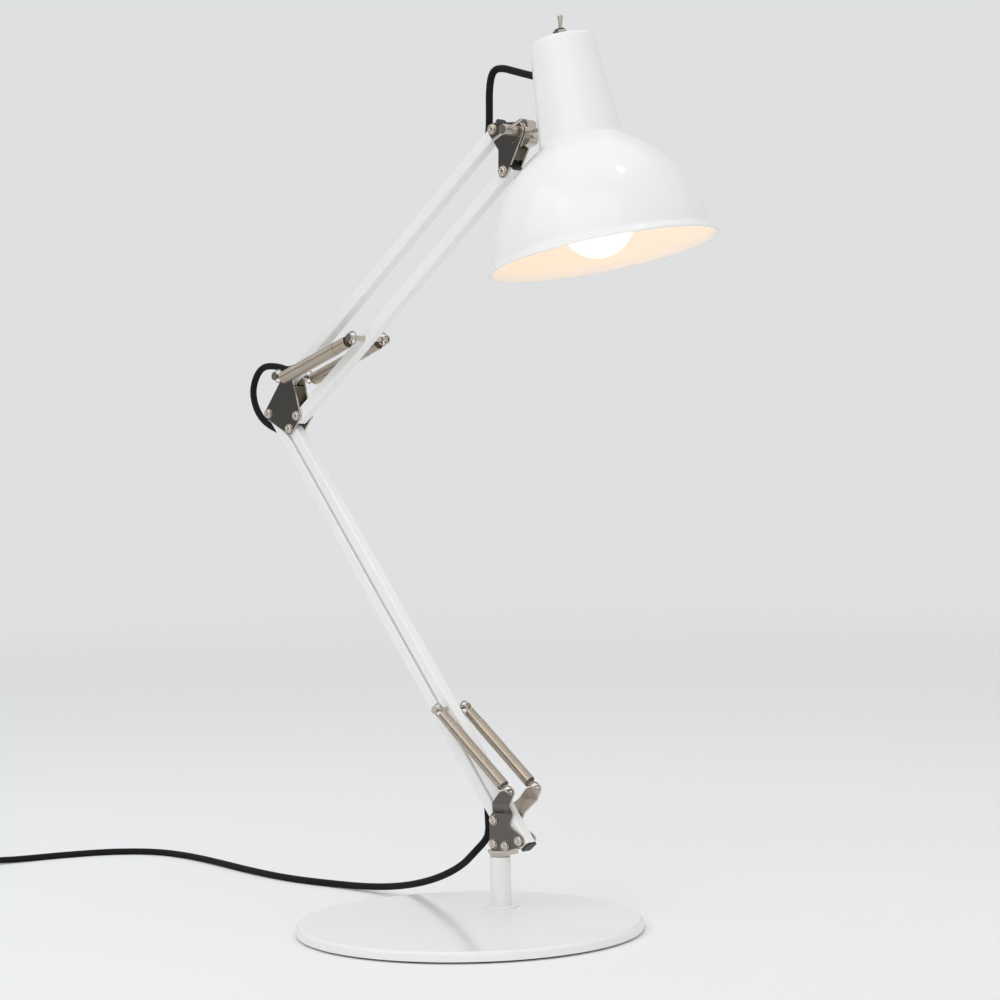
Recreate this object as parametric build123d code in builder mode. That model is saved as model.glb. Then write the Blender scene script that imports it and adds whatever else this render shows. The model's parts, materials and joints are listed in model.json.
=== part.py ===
"""Spring arm table lamp: round base, swivelling two-stage parallelogram arm with tension springs, tilting shade.

Millimetres. Z is up and the lamp stands on z = 0. The origin is on the axis of the post. The arm lies in the
plane y = 0 and reaches forward along +X, and its pivots run along Y.
"""
import math
import os

from build123d import *

os.makedirs("parts", exist_ok=True)

# Fits
RUNNING = 0.05  # radial clearance of a turning or drilled fit
GAP = 0.3  # clearance between neighbours that move past each other
SIDE_GAP = 0.4  # from a bar's side to the plate beside it

# Base
BASE_DIAMETER = 240.0
BASE_THICKNESS = 6.5
BASE_EDGE_RADIUS = 2.5
BASE_CENTRE = (18.7, -49.1)  # of the disc, from the post's axis
PAD_THICKNESS = 1.5
PAD_INSET = 4.0
POST_DIAMETER = 15.0
POST_HEIGHT = 36.2
POST_EDGE_RADIUS = 0.8
COLLAR_DIAMETER = 24.0
COLLAR_HEIGHT = 1.6
BASE_SCREW_DIAMETER = 6.0
BASE_SCREW_REACH = 7.0  # into the post
BASE_SCREW_HEAD = (12.0, 2.6)  # diameter, height

# Swivel block at the top of the post
SHANK_DIAMETER = 9.0
SHANK_DEPTH = 25.0
FLANGE_RADII = (7.0, 8.6)  # at its foot and at its top
FLANGE_HEIGHT = 4.5
BLOCK_X = (-4.6, 13.4)
BLOCK_TOP = 58.4
BLOCK_ROUND = 2.0

# Square bars of both arm stages
BAR = 9.0
BAR_WALL = 1.0
BAR_CORNER = 1.5
LOWER_LENGTH = 384.0
LOWER_LEAN = 39.0  # back from upright
UPPER_LENGTH = 282.0
UPPER_RISE = 35.4  # above level
END_CAP = 1.6  # visible thickness of a bar's end plug
END_CAP_INSERT = 1.8

# Pivots, each as (x, z): the rear base pivot, and steps from pivot to pivot
REAR_PIVOT = (0.5, 70.5)
BASE_LINK = (24.6, -12.6)  # rear to front pivot of the lower stage
ELBOW_STEP = (8.8, 9.7)  # top front pivot of the lower stage to the front pivot of the upper stage
UPPER_LINK = (-9.7, 30.8)  # front to rear pivot of the upper stage
TILT_STEP = (13.9, 26.6)  # head's front pivot to its tilt axis

# Sheet metal brackets and their rivets
PLATE = 1.5
LOBE = 4.4  # plate material round a pivot
PIN_DIAMETER = 4.0
RIVET_HEAD = (6.6, 1.5)  # diameter, height
HEAD_ROUND = 1.2
BLOCK_RIVETS = ((0.0, 53.6), (11.7, 53.2))
BLOCK_LOBES = (4.2, 3.9)
PLATE_SHOULDER = (11.5, 70.5, 4.6)  # x, z and radius of the round inside the front edge
TAB_REAR = (16.2, 89.6, 3.0)
TAB_FRONT = (25.8, 92.6, 2.8)  # carries the lower spring's hook
TAB_FLARE = (76.0, 84.0)  # heights between which the tab flares out
TAB_HOLE = 3.4
HEAD_TILT_LOBE = 6.4
HEAD_SHOULDER = (22.4, 546.0, 4.2)

# Springs
LOWER_SPRING_SPREAD = 13.4  # from the middle plane to the spring's axis
LOWER_SPRING_REACH = 115.0  # from the front pivot up the bar to the spring's pin
LOWER_COIL_RADIUS = 3.4  # to the middle of the wire
LOWER_WIRE = 2.2
LOWER_SPRING_PIN = 3.2
UPPER_SPRING_SPREAD = 15.5
UPPER_SPRING_REACH = 95.0
UPPER_COIL_RADIUS = 3.9
UPPER_WIRE = 2.3
UPPER_SPRING_PIN = 4.0
SPRING_TURNS = 24
SPRING_LEAD = 2.0  # straight wire between an eye and the coil
SPRING_BEND = 4.0  # length in which the wire leaves the coil
COIL_LEAVE = 56.0  # angle before the eye's side at which the wire leaves the coil
EYE_SWEEP = 250.0
WIRE_SIDES = 4
PIN_OVERHANG = 3.2  # pin end past the spring's axis
PIN_HEAD = (1.2, 1.0)  # extra radius, thickness

# Head joint
HEAD_NOD = 9.3  # how far the stem rises forward
SHADE_ROLL = 4.5  # how far the shade is turned on its stem
STEM_DROP = 4.7  # from the tilt axis down to the stem's axis
STEM_REACH = 52.3  # from the tilt axis along the stem to the shade's axis
STEM_DIAMETER = 6.0
STEM_COLLAR = (9.6, 2.4)  # diameter, thickness
STEM_NUT = (10.0, 3.2)  # across flats, thickness
TILT_BLOCK = (17.0, 18.4)  # along the stem, upright
TILT_GAP = 0.5  # from the block's side to the plate beside it
TILT_BLOCK_BACK = 7.0  # behind the tilt axis
TILT_BLOCK_TOP = 7.0  # above the tilt axis
TILT_BLOCK_ROUND = 4.0
TILT_BOLT = 5.0
TILT_BOLT_HEAD = (8.0, 3.0)
CLAMP_BARREL = (7.6, 13.0)  # diameter, length
TOMMY_BAR = (2.2, 31.0)  # diameter, length
TOMMY_BAR_SLOPE = 21.4
TOMMY_BAR_INSET = 4.5  # from the barrel's outer end

# Shade, by height above its rim
SHADE_RIM_RADIUS = 80.6
SHADE_SKIRT = (77.2, 6.0)  # radius, height where the rim's flare starts
SHADE_SHOULDER = (62.9, 46.8)
SHADE_CREASE = (29.5, 79.2)
SHADE_TOP = (22.3, 152.3)
SHADE_TOP_ROUND = 2.0
SHADE_CROWN = 3.0  # rise of the top from its edge to the flat land for the switch
SHADE_LAND = 10.0  # radius of that land
SHADE_LAND_ROUND = 6.0
SHADE_WALL = 1.2
STEM_HEIGHT = 97.8
CORD_HEIGHT = 133.2

# Lamp holder, bulb and switch, on the shade's axis
BULB_RADIUS = 25.5
BULB_CENTRE = 24.5  # above the rim
BULB_NECK = (14.4, 61.0)  # radius and height where the glass meets its cap
BULB_CAP = (26.0, 26.0)  # diameter, length
HOLDER_DIAMETER = 34.0
HOLDER_BOTTOM = 69.0
HOLDER_DROP = 16.2  # from the cord's inlet down to the holder's top
HOLDER_TOP = CORD_HEIGHT - HOLDER_DROP
HOLDER_LIP = 1.6
CARRIER_THICKNESS = 2.0
CARRIER_STUD = 10.0  # across the holder's threaded stud
SWITCH_BODY = (13.0, 10.0, 14.0)
SWITCH_BUSH = 7.0
SWITCH_NUT = (9.0, 3.4)  # across flats, thickness
SWITCH_BUSH_PROUD = 1.2
SWITCH_THROAT = 5.6  # opening for the lever
LEVER_LENGTH = 11.2
LEVER_RADII = (1.8, 1.3)  # at the bush and at the tip
LEVER_TILT = 14.0
GROMMET_WALL = 1.4
GROMMET_ENDS = (2.5, 4.5)  # lengths outside and inside the neck
INLET_DIP = 10.6  # how far the cord slopes down into the neck

# Mains cord, with routes written as points that the cord rounds
CORD = 5.2
BEND_SHARE = 0.45
SLOT_WIDTH = 6.6
SLOT_LENGTH = 24.0
SLOT_CENTRES = (12.0, 15.0, 9.5, 15.0)  # from the pivot: lower bar foot and top, upper bar foot and top
RUN_INSET = 36.0  # from a pivot to the inner end of a loop
LOOP_INSET = 20.0  # from a pivot to where a loop leaves the bar's axis
FOOT_ROUTE = ((-11.4, 71.0), (-10.9, 63.5), (-12.6, 55.6))
FOOT_END = (-19.4, 50.0)
# The loops' points are steps from the rear pivot of the elbow and of the head
ELBOW_ROUTE = ((-10.8, -7.9), (-23.8, 5.1), (-27.3, 22.1), (-15.8, 38.1), (5.2, 37.1), (19.2, 32.6))
HEAD_ROUTE = ((-9.8, -4.2), (-8.8, 12.8), (-8.6, 29.8), (-5.4, 42.3), (3.6, 43.8), (17.6, 39.1))
INLET_RUN = (5.0, 5.0)  # straight cord outside and inside the neck
FLOOR_CORD = CORD / 2 + 0.05  # height of a cord's middle where it lies on the surface
MAINS_START = 10.0  # straight run after the bend at the foot
MAINS_ROUTE = (
    (-43.0, 3.0, 32.6),
    (-73.0, 7.0, 20.0),
    (-114.0, 13.0, 9.6),
    (-160.0, 17.5, 3.6),
    (-204.0, 14.0, FLOOR_CORD),
    (-246.0, 10.0, FLOOR_CORD),
    (-299.0, 16.0, FLOOR_CORD),
    (-361.0, 28.5, FLOOR_CORD),
    (-412.0, 36.0, FLOOR_CORD),
    (-452.0, 33.0, FLOOR_CORD),
    (-482.0, 10.0, FLOOR_CORD),
    (-499.0, -28.0, FLOOR_CORD),
    (-509.0, -72.0, FLOOR_CORD + 0.2),
)
COIL_CENTRE = (-553.0, -122.0)
COIL_RADIUS = 38.0  # outermost turn, to the cord's middle
COIL_STEP = 5.8  # from turn to turn, sideways and up
COIL_TURNS = 6.0
COIL_LIFT = 1.0  # room for the tie under the coil
COIL_CLIMB = 0.5  # turns in which it rises to its second layer
COIL_SIDES = 6
COIL_RUN_IN = 30.0  # straight cord before the coil
COIL_TAIL = (2.0, -46.0)  # from the coil's last turn to the plug, in x and y
TIE_WIDTH = 9.0
TIE_THICKNESS = 0.7
TIE_ANGLE = 135.0
PLUG = (26.0, 36.0, 14.0)  # width, length, thickness
PLUG_NOSE = 17.0  # width at the pins
PLUG_RELIEF = (8.6, 24.0)  # diameter at the body, length
PLUG_PIN = (4.0, 19.0)  # diameter, length
PLUG_PIN_SPACING = 18.6


def save(part, node):
    """Labels a finished piece and writes it under its name."""
    part.label = node
    export_step(part, f"parts/{node}.step")


def side(y):
    """Drawing plane of the arm, X to the right and Z up, at the given y."""
    return Plane.XZ.offset(-y)


def step(start, move, times=1.0):
    """Point in the arm's plane, a number of moves away from start."""
    return (start[0] + times * move[0], start[1] + times * move[1])


def heading(degrees):
    """Unit step in the arm's plane, measured from +X towards +Z."""
    return (math.cos(math.radians(degrees)), math.sin(math.radians(degrees)))


def spatial(point, y=0.0):
    """Point of the arm's plane as a point in space."""
    return Vector(point[0], y, point[1])


# Pivots worked out from the links
LOWER_HEADING = 90.0 + LOWER_LEAN
FRONT_PIVOT = step(REAR_PIVOT, BASE_LINK)
ELBOW_REAR = step(REAR_PIVOT, heading(LOWER_HEADING), LOWER_LENGTH)
ELBOW_FRONT = step(FRONT_PIVOT, heading(LOWER_HEADING), LOWER_LENGTH)
UPPER_FRONT = step(ELBOW_FRONT, ELBOW_STEP)
UPPER_REAR = step(UPPER_FRONT, UPPER_LINK)
HEAD_FRONT = step(UPPER_FRONT, heading(UPPER_RISE), UPPER_LENGTH)
HEAD_REAR = step(UPPER_REAR, heading(UPPER_RISE), UPPER_LENGTH)
TILT_AXIS = step(HEAD_FRONT, TILT_STEP)
LOWER_SPRING_TOP = step(FRONT_PIVOT, heading(LOWER_HEADING), LOWER_SPRING_REACH)
UPPER_SPRING_TOP = step(UPPER_FRONT, heading(UPPER_RISE), UPPER_SPRING_REACH)

# Levels across the arm
PLATE_IN = BAR / 2 + SIDE_GAP
PLATE_OUT = PLATE_IN + PLATE
PIN_RADIUS = PIN_DIAMETER / 2

# Frame of the shade: the stem runs along STEM, the shade's axis rises along RISE
STEM = Vector(math.cos(math.radians(HEAD_NOD)), 0, math.sin(math.radians(HEAD_NOD)))
NODDED_UP = Vector(-math.sin(math.radians(HEAD_NOD)), 0, math.cos(math.radians(HEAD_NOD)))
RISE = NODDED_UP.rotate(Axis((0, 0, 0), STEM), SHADE_ROLL)
STEM_FOOT = spatial(TILT_AXIS) - NODDED_UP * STEM_DROP
SHADE_FOOT = STEM_FOOT + STEM * STEM_REACH - RISE * STEM_HEIGHT
SHADE_AXIS = Axis(SHADE_FOOT, RISE)
SHADE_SIDE = Plane(origin=SHADE_FOOT, x_dir=STEM, z_dir=STEM.cross(RISE))


def shade_level(height):
    """Plane square to the shade's axis at a height above the rim, with X along the stem."""
    return Plane(origin=SHADE_FOOT + RISE * height, x_dir=STEM, z_dir=RISE)


NECK_SLOPE = (SHADE_CREASE[0] - SHADE_TOP[0]) / (SHADE_TOP[1] - SHADE_CREASE[1])


def neck_radius(height):
    """Outer radius of the shade's tapered neck at a height above the rim."""
    return SHADE_CREASE[0] - (height - SHADE_CREASE[1]) * NECK_SLOPE


def off_neck(radius, height):
    """How far a flat disc stands off the neck, outside for its slope and inside for its slope and roundness."""
    inside = neck_radius(height) - SHADE_WALL
    return radius * NECK_SLOPE, radius * NECK_SLOPE + inside - math.sqrt(inside**2 - radius**2)


# Base: disc, pad, post and their fixings
BASE_UNDER = PAD_THICKNESS
BASE_TOP = BASE_UNDER + BASE_THICKNESS
POST_TOP = BASE_TOP + POST_HEIGHT

with BuildPart() as base_plate:
    with BuildSketch(Plane.XY.offset(BASE_UNDER)):
        with Locations(BASE_CENTRE):
            Circle(BASE_DIAMETER / 2)
    extrude(amount=BASE_THICKNESS)
    fillet(base_plate.edges().group_by(Axis.Z)[-1], radius=BASE_EDGE_RADIUS)
    with BuildSketch(Plane.XY.offset(BASE_UNDER)):
        Circle(BASE_SCREW_DIAMETER / 2 + RUNNING)
    extrude(amount=BASE_THICKNESS, mode=Mode.SUBTRACT)
    with BuildSketch(Plane.XY.offset(BASE_UNDER)):
        Circle(BASE_SCREW_HEAD[0] / 2 + GAP)
    extrude(amount=BASE_SCREW_HEAD[1], mode=Mode.SUBTRACT)
save(base_plate.part, "base_plate")

with BuildPart() as base_pad:
    with BuildSketch():
        with Locations(BASE_CENTRE):
            Circle(BASE_DIAMETER / 2 - PAD_INSET)
    extrude(amount=PAD_THICKNESS)
save(base_pad.part, "base_pad")

with BuildPart() as post:
    with BuildSketch(Plane.XY.offset(BASE_TOP)):
        Circle(POST_DIAMETER / 2)
    extrude(amount=POST_HEIGHT)
    fillet(post.edges().group_by(Axis.Z)[-1], radius=POST_EDGE_RADIUS)
    with BuildSketch(Plane.XY.offset(POST_TOP)):
        Circle(SHANK_DIAMETER / 2 + RUNNING)
    extrude(amount=-SHANK_DEPTH - GAP, mode=Mode.SUBTRACT)
    with BuildSketch(Plane.XY.offset(BASE_TOP)):
        Circle(BASE_SCREW_DIAMETER / 2 + RUNNING)
    extrude(amount=BASE_SCREW_REACH + GAP, mode=Mode.SUBTRACT)
save(post.part, "post")

with BuildPart() as post_collar:
    with BuildSketch(Plane.XY.offset(BASE_TOP)):
        Circle(COLLAR_DIAMETER / 2)
        Circle(POST_DIAMETER / 2 + RUNNING, mode=Mode.SUBTRACT)
    extrude(amount=COLLAR_HEIGHT)
    fillet(post_collar.edges().group_by(Axis.Z)[-1].sort_by(SortBy.RADIUS)[-1], radius=COLLAR_HEIGHT / 2)
save(post_collar.part, "post_collar")

with BuildPart() as base_screw:
    with BuildSketch(Plane.XY.offset(BASE_UNDER)):
        Circle(BASE_SCREW_HEAD[0] / 2)
    extrude(amount=BASE_SCREW_HEAD[1])
    with BuildSketch(Plane.XY.offset(BASE_UNDER + BASE_SCREW_HEAD[1])):
        Circle(BASE_SCREW_DIAMETER / 2)
    extrude(amount=BASE_THICKNESS - BASE_SCREW_HEAD[1] + BASE_SCREW_REACH)
save(base_screw.part, "base_screw")

# Swivel block: a turned shank and flange below, a flat block between the plates above
FLANGE_UNDER = POST_TOP + GAP
FLANGE_TOP = FLANGE_UNDER + FLANGE_HEIGHT
with BuildPart() as swivel_block:
    with BuildSketch(Plane.XZ):
        with BuildLine():
            Polyline(
                (0, POST_TOP - SHANK_DEPTH),
                (SHANK_DIAMETER / 2, POST_TOP - SHANK_DEPTH),
                (SHANK_DIAMETER / 2, FLANGE_UNDER),
                (FLANGE_RADII[0], FLANGE_UNDER),
                (FLANGE_RADII[1], FLANGE_UNDER + FLANGE_HEIGHT * 0.6),
                (FLANGE_RADII[1], FLANGE_TOP),
                (0, FLANGE_TOP),
                close=True,
            )
        make_face()
    revolve(axis=Axis.Z)
    with BuildSketch(Plane.XY.offset(FLANGE_UNDER + FLANGE_HEIGHT / 2)):
        with Locations(((BLOCK_X[0] + BLOCK_X[1]) / 2, 0)):
            Rectangle(BLOCK_X[1] - BLOCK_X[0], 2 * PLATE_IN)
    extrude(amount=BLOCK_TOP - FLANGE_UNDER - FLANGE_HEIGHT / 2)
    fillet(swivel_block.edges().filter_by(Axis.Y).group_by(Axis.Z)[-1], radius=BLOCK_ROUND)
    with BuildSketch(side(0)):
        with Locations(*BLOCK_RIVETS):
            Circle(PIN_RADIUS + RUNNING)
    extrude(amount=PLATE_OUT, both=True, mode=Mode.SUBTRACT)
save(swivel_block.part, "swivel_block")


def rounded_hull(*lobes):
    """Outline that wraps round discs, each given as x, z and radius."""
    with BuildSketch(mode=Mode.PRIVATE) as wrapped:
        for x, z, radius in lobes:
            with Locations((x, z)):
                Circle(radius)
        make_hull()
    return wrapped.sketch


def flat_plate(outlines, holes):
    """Bracket plate on the far side of the bars, pierced for its pins."""
    with BuildPart() as plate:
        with BuildSketch(side(PLATE_OUT)):
            for outline in outlines:
                add(outline)
            for x, z, radius in holes:
                with Locations((x, z)):
                    Circle(radius, mode=Mode.SUBTRACT)
        extrude(amount=PLATE)
    return plate.part


def save_pair(part, node):
    """Writes a plate and its mirror image on the near side."""
    save(part, f"{node}_far")
    with BuildPart() as near:
        mirror(part, about=Plane.XZ)
    save(near.part, f"{node}_near")


def pin_holes(points):
    """Holes for pins at points of the arm's plane."""
    return [(x, z, PIN_RADIUS) for x, z in points]


def lobed(point, radius=LOBE):
    """Disc of plate round a pivot."""
    return (point[0], point[1], radius)


# Base bracket: two plates that flare out at the top to hold the springs
bracket_outlines = (
    rounded_hull(
        lobed(REAR_PIVOT),
        lobed(BLOCK_RIVETS[0], BLOCK_LOBES[0]),
        lobed(BLOCK_RIVETS[1], BLOCK_LOBES[1]),
        lobed(FRONT_PIVOT),
    ),
    rounded_hull(lobed(REAR_PIVOT), PLATE_SHOULDER, TAB_REAR, TAB_FRONT),
)
TAB_TOP = TAB_FRONT[1] + TAB_FRONT[2] + PLATE
FLARED_IN = LOWER_SPRING_SPREAD - PLATE / 2
with BuildPart() as bracket_plate:
    with BuildSketch(Plane.YZ.offset(-BAR)):
        with BuildLine():
            Polyline(
                (PLATE_IN, BLOCK_RIVETS[1][1] - 2 * LOBE),
                (PLATE_OUT, BLOCK_RIVETS[1][1] - 2 * LOBE),
                (PLATE_OUT, TAB_FLARE[0]),
                (FLARED_IN + PLATE, TAB_FLARE[1]),
                (FLARED_IN + PLATE, TAB_TOP),
                (FLARED_IN, TAB_TOP),
                (FLARED_IN, TAB_FLARE[1] + PLATE / 2),
                (PLATE_IN, TAB_FLARE[0] + PLATE / 2),
                close=True,
            )
        make_face()
    extrude(amount=FRONT_PIVOT[0] + 3 * BAR)
    with BuildSketch(side(0)):
        for outline in bracket_outlines:
            add(outline)
        with Locations(REAR_PIVOT, FRONT_PIVOT, *BLOCK_RIVETS):
            Circle(PIN_RADIUS, mode=Mode.SUBTRACT)
        with Locations(TAB_FRONT[:2]):
            Circle(TAB_HOLE / 2, mode=Mode.SUBTRACT)
    extrude(amount=-LOWER_SPRING_SPREAD - BAR, mode=Mode.INTERSECT)
save_pair(bracket_plate.part, "bracket_plate")

# Elbow and head plates
elbow_pivots = (ELBOW_REAR, ELBOW_FRONT, UPPER_FRONT, UPPER_REAR)
elbow_outline = rounded_hull(*[lobed(pivot) for pivot in elbow_pivots])
save_pair(flat_plate([elbow_outline], pin_holes(elbow_pivots)), "elbow_plate")

head_outlines = (
    rounded_hull(lobed(HEAD_REAR), HEAD_SHOULDER, lobed(TILT_AXIS, HEAD_TILT_LOBE)),
    rounded_hull(lobed(HEAD_FRONT), HEAD_SHOULDER, lobed(TILT_AXIS, HEAD_TILT_LOBE)),
)
head_holes = pin_holes((HEAD_REAR, HEAD_FRONT)) + [(*TILT_AXIS, TILT_BOLT / 2)]
save_pair(flat_plate(head_outlines, head_holes), "head_plate")


def rivets(points):
    """Rivets through both plates, domed at each end."""
    with BuildPart() as group:
        with BuildSketch(side(0)):
            with Locations(*points):
                Circle(PIN_RADIUS)
        extrude(amount=PLATE_OUT, both=True)
        for y, way in ((-PLATE_OUT, 1), (PLATE_OUT, -1)):
            with BuildSketch(side(y)):
                with Locations(*points):
                    Circle(RIVET_HEAD[0] / 2)
            extrude(amount=way * RIVET_HEAD[1])
        ends = group.edges().filter_by(GeomType.CIRCLE)
        fillet(ends.group_by(Axis.Y)[0] + ends.group_by(Axis.Y)[-1], radius=HEAD_ROUND)
    return group.part


save(rivets(BLOCK_RIVETS), "block_rivets")
save(rivets((REAR_PIVOT, FRONT_PIVOT)), "base_pivot_pins")
save(rivets((ELBOW_REAR, ELBOW_FRONT, UPPER_FRONT)), "elbow_pivot_pins")
save(rivets((HEAD_REAR, HEAD_FRONT)), "head_pivot_pins")


def spring_pin(point, diameter, spread):
    """Cross pin whose headed ends hold a pair of springs."""
    with BuildPart() as pin:
        with BuildSketch(side(0)):
            with Locations(point):
                Circle(diameter / 2)
        extrude(amount=spread + PIN_OVERHANG, both=True)
        for y, way in ((-spread - PIN_OVERHANG, 1), (spread + PIN_OVERHANG, -1)):
            with BuildSketch(side(y)):
                with Locations(point):
                    Circle(diameter / 2 + PIN_HEAD[0])
            extrude(amount=way * PIN_HEAD[1])
    return pin.part


save(spring_pin(LOWER_SPRING_TOP, LOWER_SPRING_PIN, LOWER_SPRING_SPREAD), "lower_spring_pin")
save(spring_pin(UPPER_REAR, PIN_DIAMETER, UPPER_SPRING_SPREAD), "upper_spring_anchor")
save(spring_pin(UPPER_SPRING_TOP, UPPER_SPRING_PIN, UPPER_SPRING_SPREAD), "upper_spring_pin")


def bar_level(pivot, degrees, distance):
    """Plane square to a bar at a distance along it from its foot pivot, with Y of the plane on the cord's side."""
    along = spatial(heading(degrees))
    return Plane(origin=spatial(pivot) + along * distance, x_dir=(0, 1, 0), z_dir=along)


def square_bar(pivot, degrees, length, overhangs, holes, slots):
    """Square tube drilled across for its pins, with slots for the cord at the given distances."""
    foot, top = (overhang - END_CAP if overhang else BAR / 2 for overhang in overhangs)
    with BuildPart() as bar:
        with BuildSketch(bar_level(pivot, degrees, -foot)):
            RectangleRounded(BAR, BAR, BAR_CORNER)
            RectangleRounded(BAR - 2 * BAR_WALL, BAR - 2 * BAR_WALL, BAR_CORNER - BAR_WALL, mode=Mode.SUBTRACT)
        extrude(amount=foot + length + top)
        for distance, diameter in holes:
            with BuildSketch(side(0)):
                with Locations(step(pivot, heading(degrees), distance)):
                    Circle(diameter / 2 + RUNNING)
            extrude(amount=BAR, both=True, mode=Mode.SUBTRACT)
        for distance in slots:
            level = bar_level(pivot, degrees, distance)
            with BuildSketch(Plane(origin=level.origin, x_dir=level.z_dir, z_dir=level.y_dir)):
                SlotOverall(SLOT_LENGTH, SLOT_WIDTH)
            extrude(amount=BAR, mode=Mode.SUBTRACT)
        if not overhangs[1]:
            with BuildSketch(Plane(origin=spatial(step(pivot, heading(degrees), length)), z_dir=(0, -1, 0),
                                   x_dir=spatial(heading(degrees)))):
                with Locations((BAR / 2, 0)):
                    Rectangle(BAR, 2 * BAR)
                Circle(BAR / 2, mode=Mode.SUBTRACT)
            extrude(amount=BAR, both=True, mode=Mode.SUBTRACT)
    return bar.part


def end_caps(pivot, degrees, length, overhangs):
    """Plastic plugs in the square ends of a bar."""
    with BuildPart() as caps:
        for distance, way, overhang in ((0, -1, overhangs[0]), (length, 1, overhangs[1])):
            if overhang:
                level = bar_level(pivot, degrees, distance + way * (overhang - END_CAP))
                with BuildSketch(level):
                    RectangleRounded(BAR, BAR, BAR_CORNER)
                extrude(amount=way * END_CAP)
                with BuildSketch(level):
                    RectangleRounded(BAR - 2 * BAR_WALL, BAR - 2 * BAR_WALL, BAR_CORNER - BAR_WALL)
                extrude(amount=-way * END_CAP_INSERT)
    return caps.part


# Bars: overhangs past the foot and top pivots, with none where the end is rounded and open
lower_ends = ((6.6, 0.0), (6.0, 6.0))
upper_ends = ((5.6, 8.2), (6.0, 6.2))
lower_pins = [(0.0, PIN_DIAMETER), (LOWER_LENGTH, PIN_DIAMETER)]
upper_pins = [(0.0, PIN_DIAMETER), (UPPER_LENGTH, PIN_DIAMETER)]
lower_slots = (SLOT_CENTRES[0], LOWER_LENGTH - SLOT_CENTRES[1])
upper_slots = (SLOT_CENTRES[2], UPPER_LENGTH - SLOT_CENTRES[3])
front_lower_holes = lower_pins + [(LOWER_SPRING_REACH, LOWER_SPRING_PIN)]
front_upper_holes = upper_pins + [(UPPER_SPRING_REACH, UPPER_SPRING_PIN)]
bars = (
    ("lower_bar_front", FRONT_PIVOT, LOWER_HEADING, LOWER_LENGTH, lower_ends[0], front_lower_holes, ()),
    ("lower_bar_rear", REAR_PIVOT, LOWER_HEADING, LOWER_LENGTH, lower_ends[1], lower_pins, lower_slots),
    ("upper_bar_front", UPPER_FRONT, UPPER_RISE, UPPER_LENGTH, upper_ends[0], front_upper_holes, ()),
    ("upper_bar_rear", UPPER_REAR, UPPER_RISE, UPPER_LENGTH, upper_ends[1], upper_pins, upper_slots),
)
for node, pivot, degrees, length, ends, holes, slots in bars:
    save(square_bar(pivot, degrees, length, ends, holes, slots), node)
    save(end_caps(pivot, degrees, length, ends), f"{node}_caps")


def biarc(start, start_way, end, end_way):
    """Adds two arcs that leave start and reach end in the given directions, or a line where all are in line."""
    chord = end - start
    if chord.normalized().dot(start_way) > 1 - 1e-9 and chord.normalized().dot(end_way) > 1 - 1e-9:
        Line(start, end)
        return
    both = start_way + end_way
    spare = 2 * (1 - start_way.dot(end_way))
    along = chord.dot(both)
    if spare < 1e-9:
        reach = chord.dot(chord) / (4 * chord.dot(end_way))
    else:
        reach = (math.sqrt(along**2 + spare * chord.dot(chord)) - along) / spare
    middle = (start + start_way * reach + end - end_way * reach) / 2
    middle_way = (end - end_way * reach - start - start_way * reach).normalized()
    TangentArc(start, middle, tangent=start_way)
    TangentArc(middle, end, tangent=middle_way)


def wound_tube(knots, diameter, sides):
    """Faceted tube through knots, each a point and a direction, and its least gap to itself."""
    with BuildPart() as tube:
        with BuildLine() as path:
            for (start, start_way), (end, end_way) in zip(knots, knots[1:]):
                biarc(start, start_way, end, end_way)
        with BuildSketch(Plane(origin=knots[0][0], z_dir=knots[0][1])):
            RegularPolygon(diameter / 2, sides)
        sweep(clean=False)
    wire = Wire(path.edges())
    count = max(int(wire.length / diameter * 2), 40)
    points = [wire.position_at(index / count) for index in range(count + 1)]
    skip = 5
    least = min(
        (points[first] - points[second]).length
        for first in range(len(points))
        for second in range(first + skip, len(points))
    )
    return tube.part, least - diameter, wire.length


def spring(foot, top, foot_side, top_side, radius, wire):
    """Tension spring between two eye centres. Each eye lies in the plane of the spring's axis and its side."""
    along = (top - foot).normalized()
    across = along.cross(foot_side)
    length = (top - foot).length
    turn_to_top = math.degrees(math.atan2(top_side.dot(across), top_side.dot(foot_side)))
    first = COIL_LEAVE
    last = turn_to_top - COIL_LEAVE + 360.0 * SPRING_TURNS
    coil_start = SPRING_LEAD + SPRING_BEND
    coil_length = length - 2 * coil_start
    pitch = coil_length / (last - first)

    knots = []
    for angle in (EYE_SWEEP, EYE_SWEEP * 2 / 3, EYE_SWEEP / 3, 0.0):
        c, s = math.cos(math.radians(angle)), math.sin(math.radians(angle))
        knots.append((foot + (foot_side * c - along * s) * radius, foot_side * s + along * c))
    knots.append((knots[-1][0] + along * SPRING_LEAD, along))
    halves = math.ceil((last - first) / 180.0)
    for index in range(halves + 1):
        angle = first + (last - first) * index / halves
        c, s = math.cos(math.radians(angle)), math.sin(math.radians(angle))
        point = foot + (foot_side * c + across * s) * radius + along * (coil_start + pitch * (angle - first))
        way = (across * c - foot_side * s) * radius + along * math.degrees(pitch)
        knots.append((point, way.normalized()))
    knots.append((top + top_side * radius - along * SPRING_LEAD, along))
    for angle in (0.0, EYE_SWEEP / 3, EYE_SWEEP * 2 / 3, EYE_SWEEP):
        c, s = math.cos(math.radians(angle)), math.sin(math.radians(angle))
        knots.append((top + (top_side * c + along * s) * radius, along * c - top_side * s))
    return wound_tube(knots, wire, WIRE_SIDES)


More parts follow.
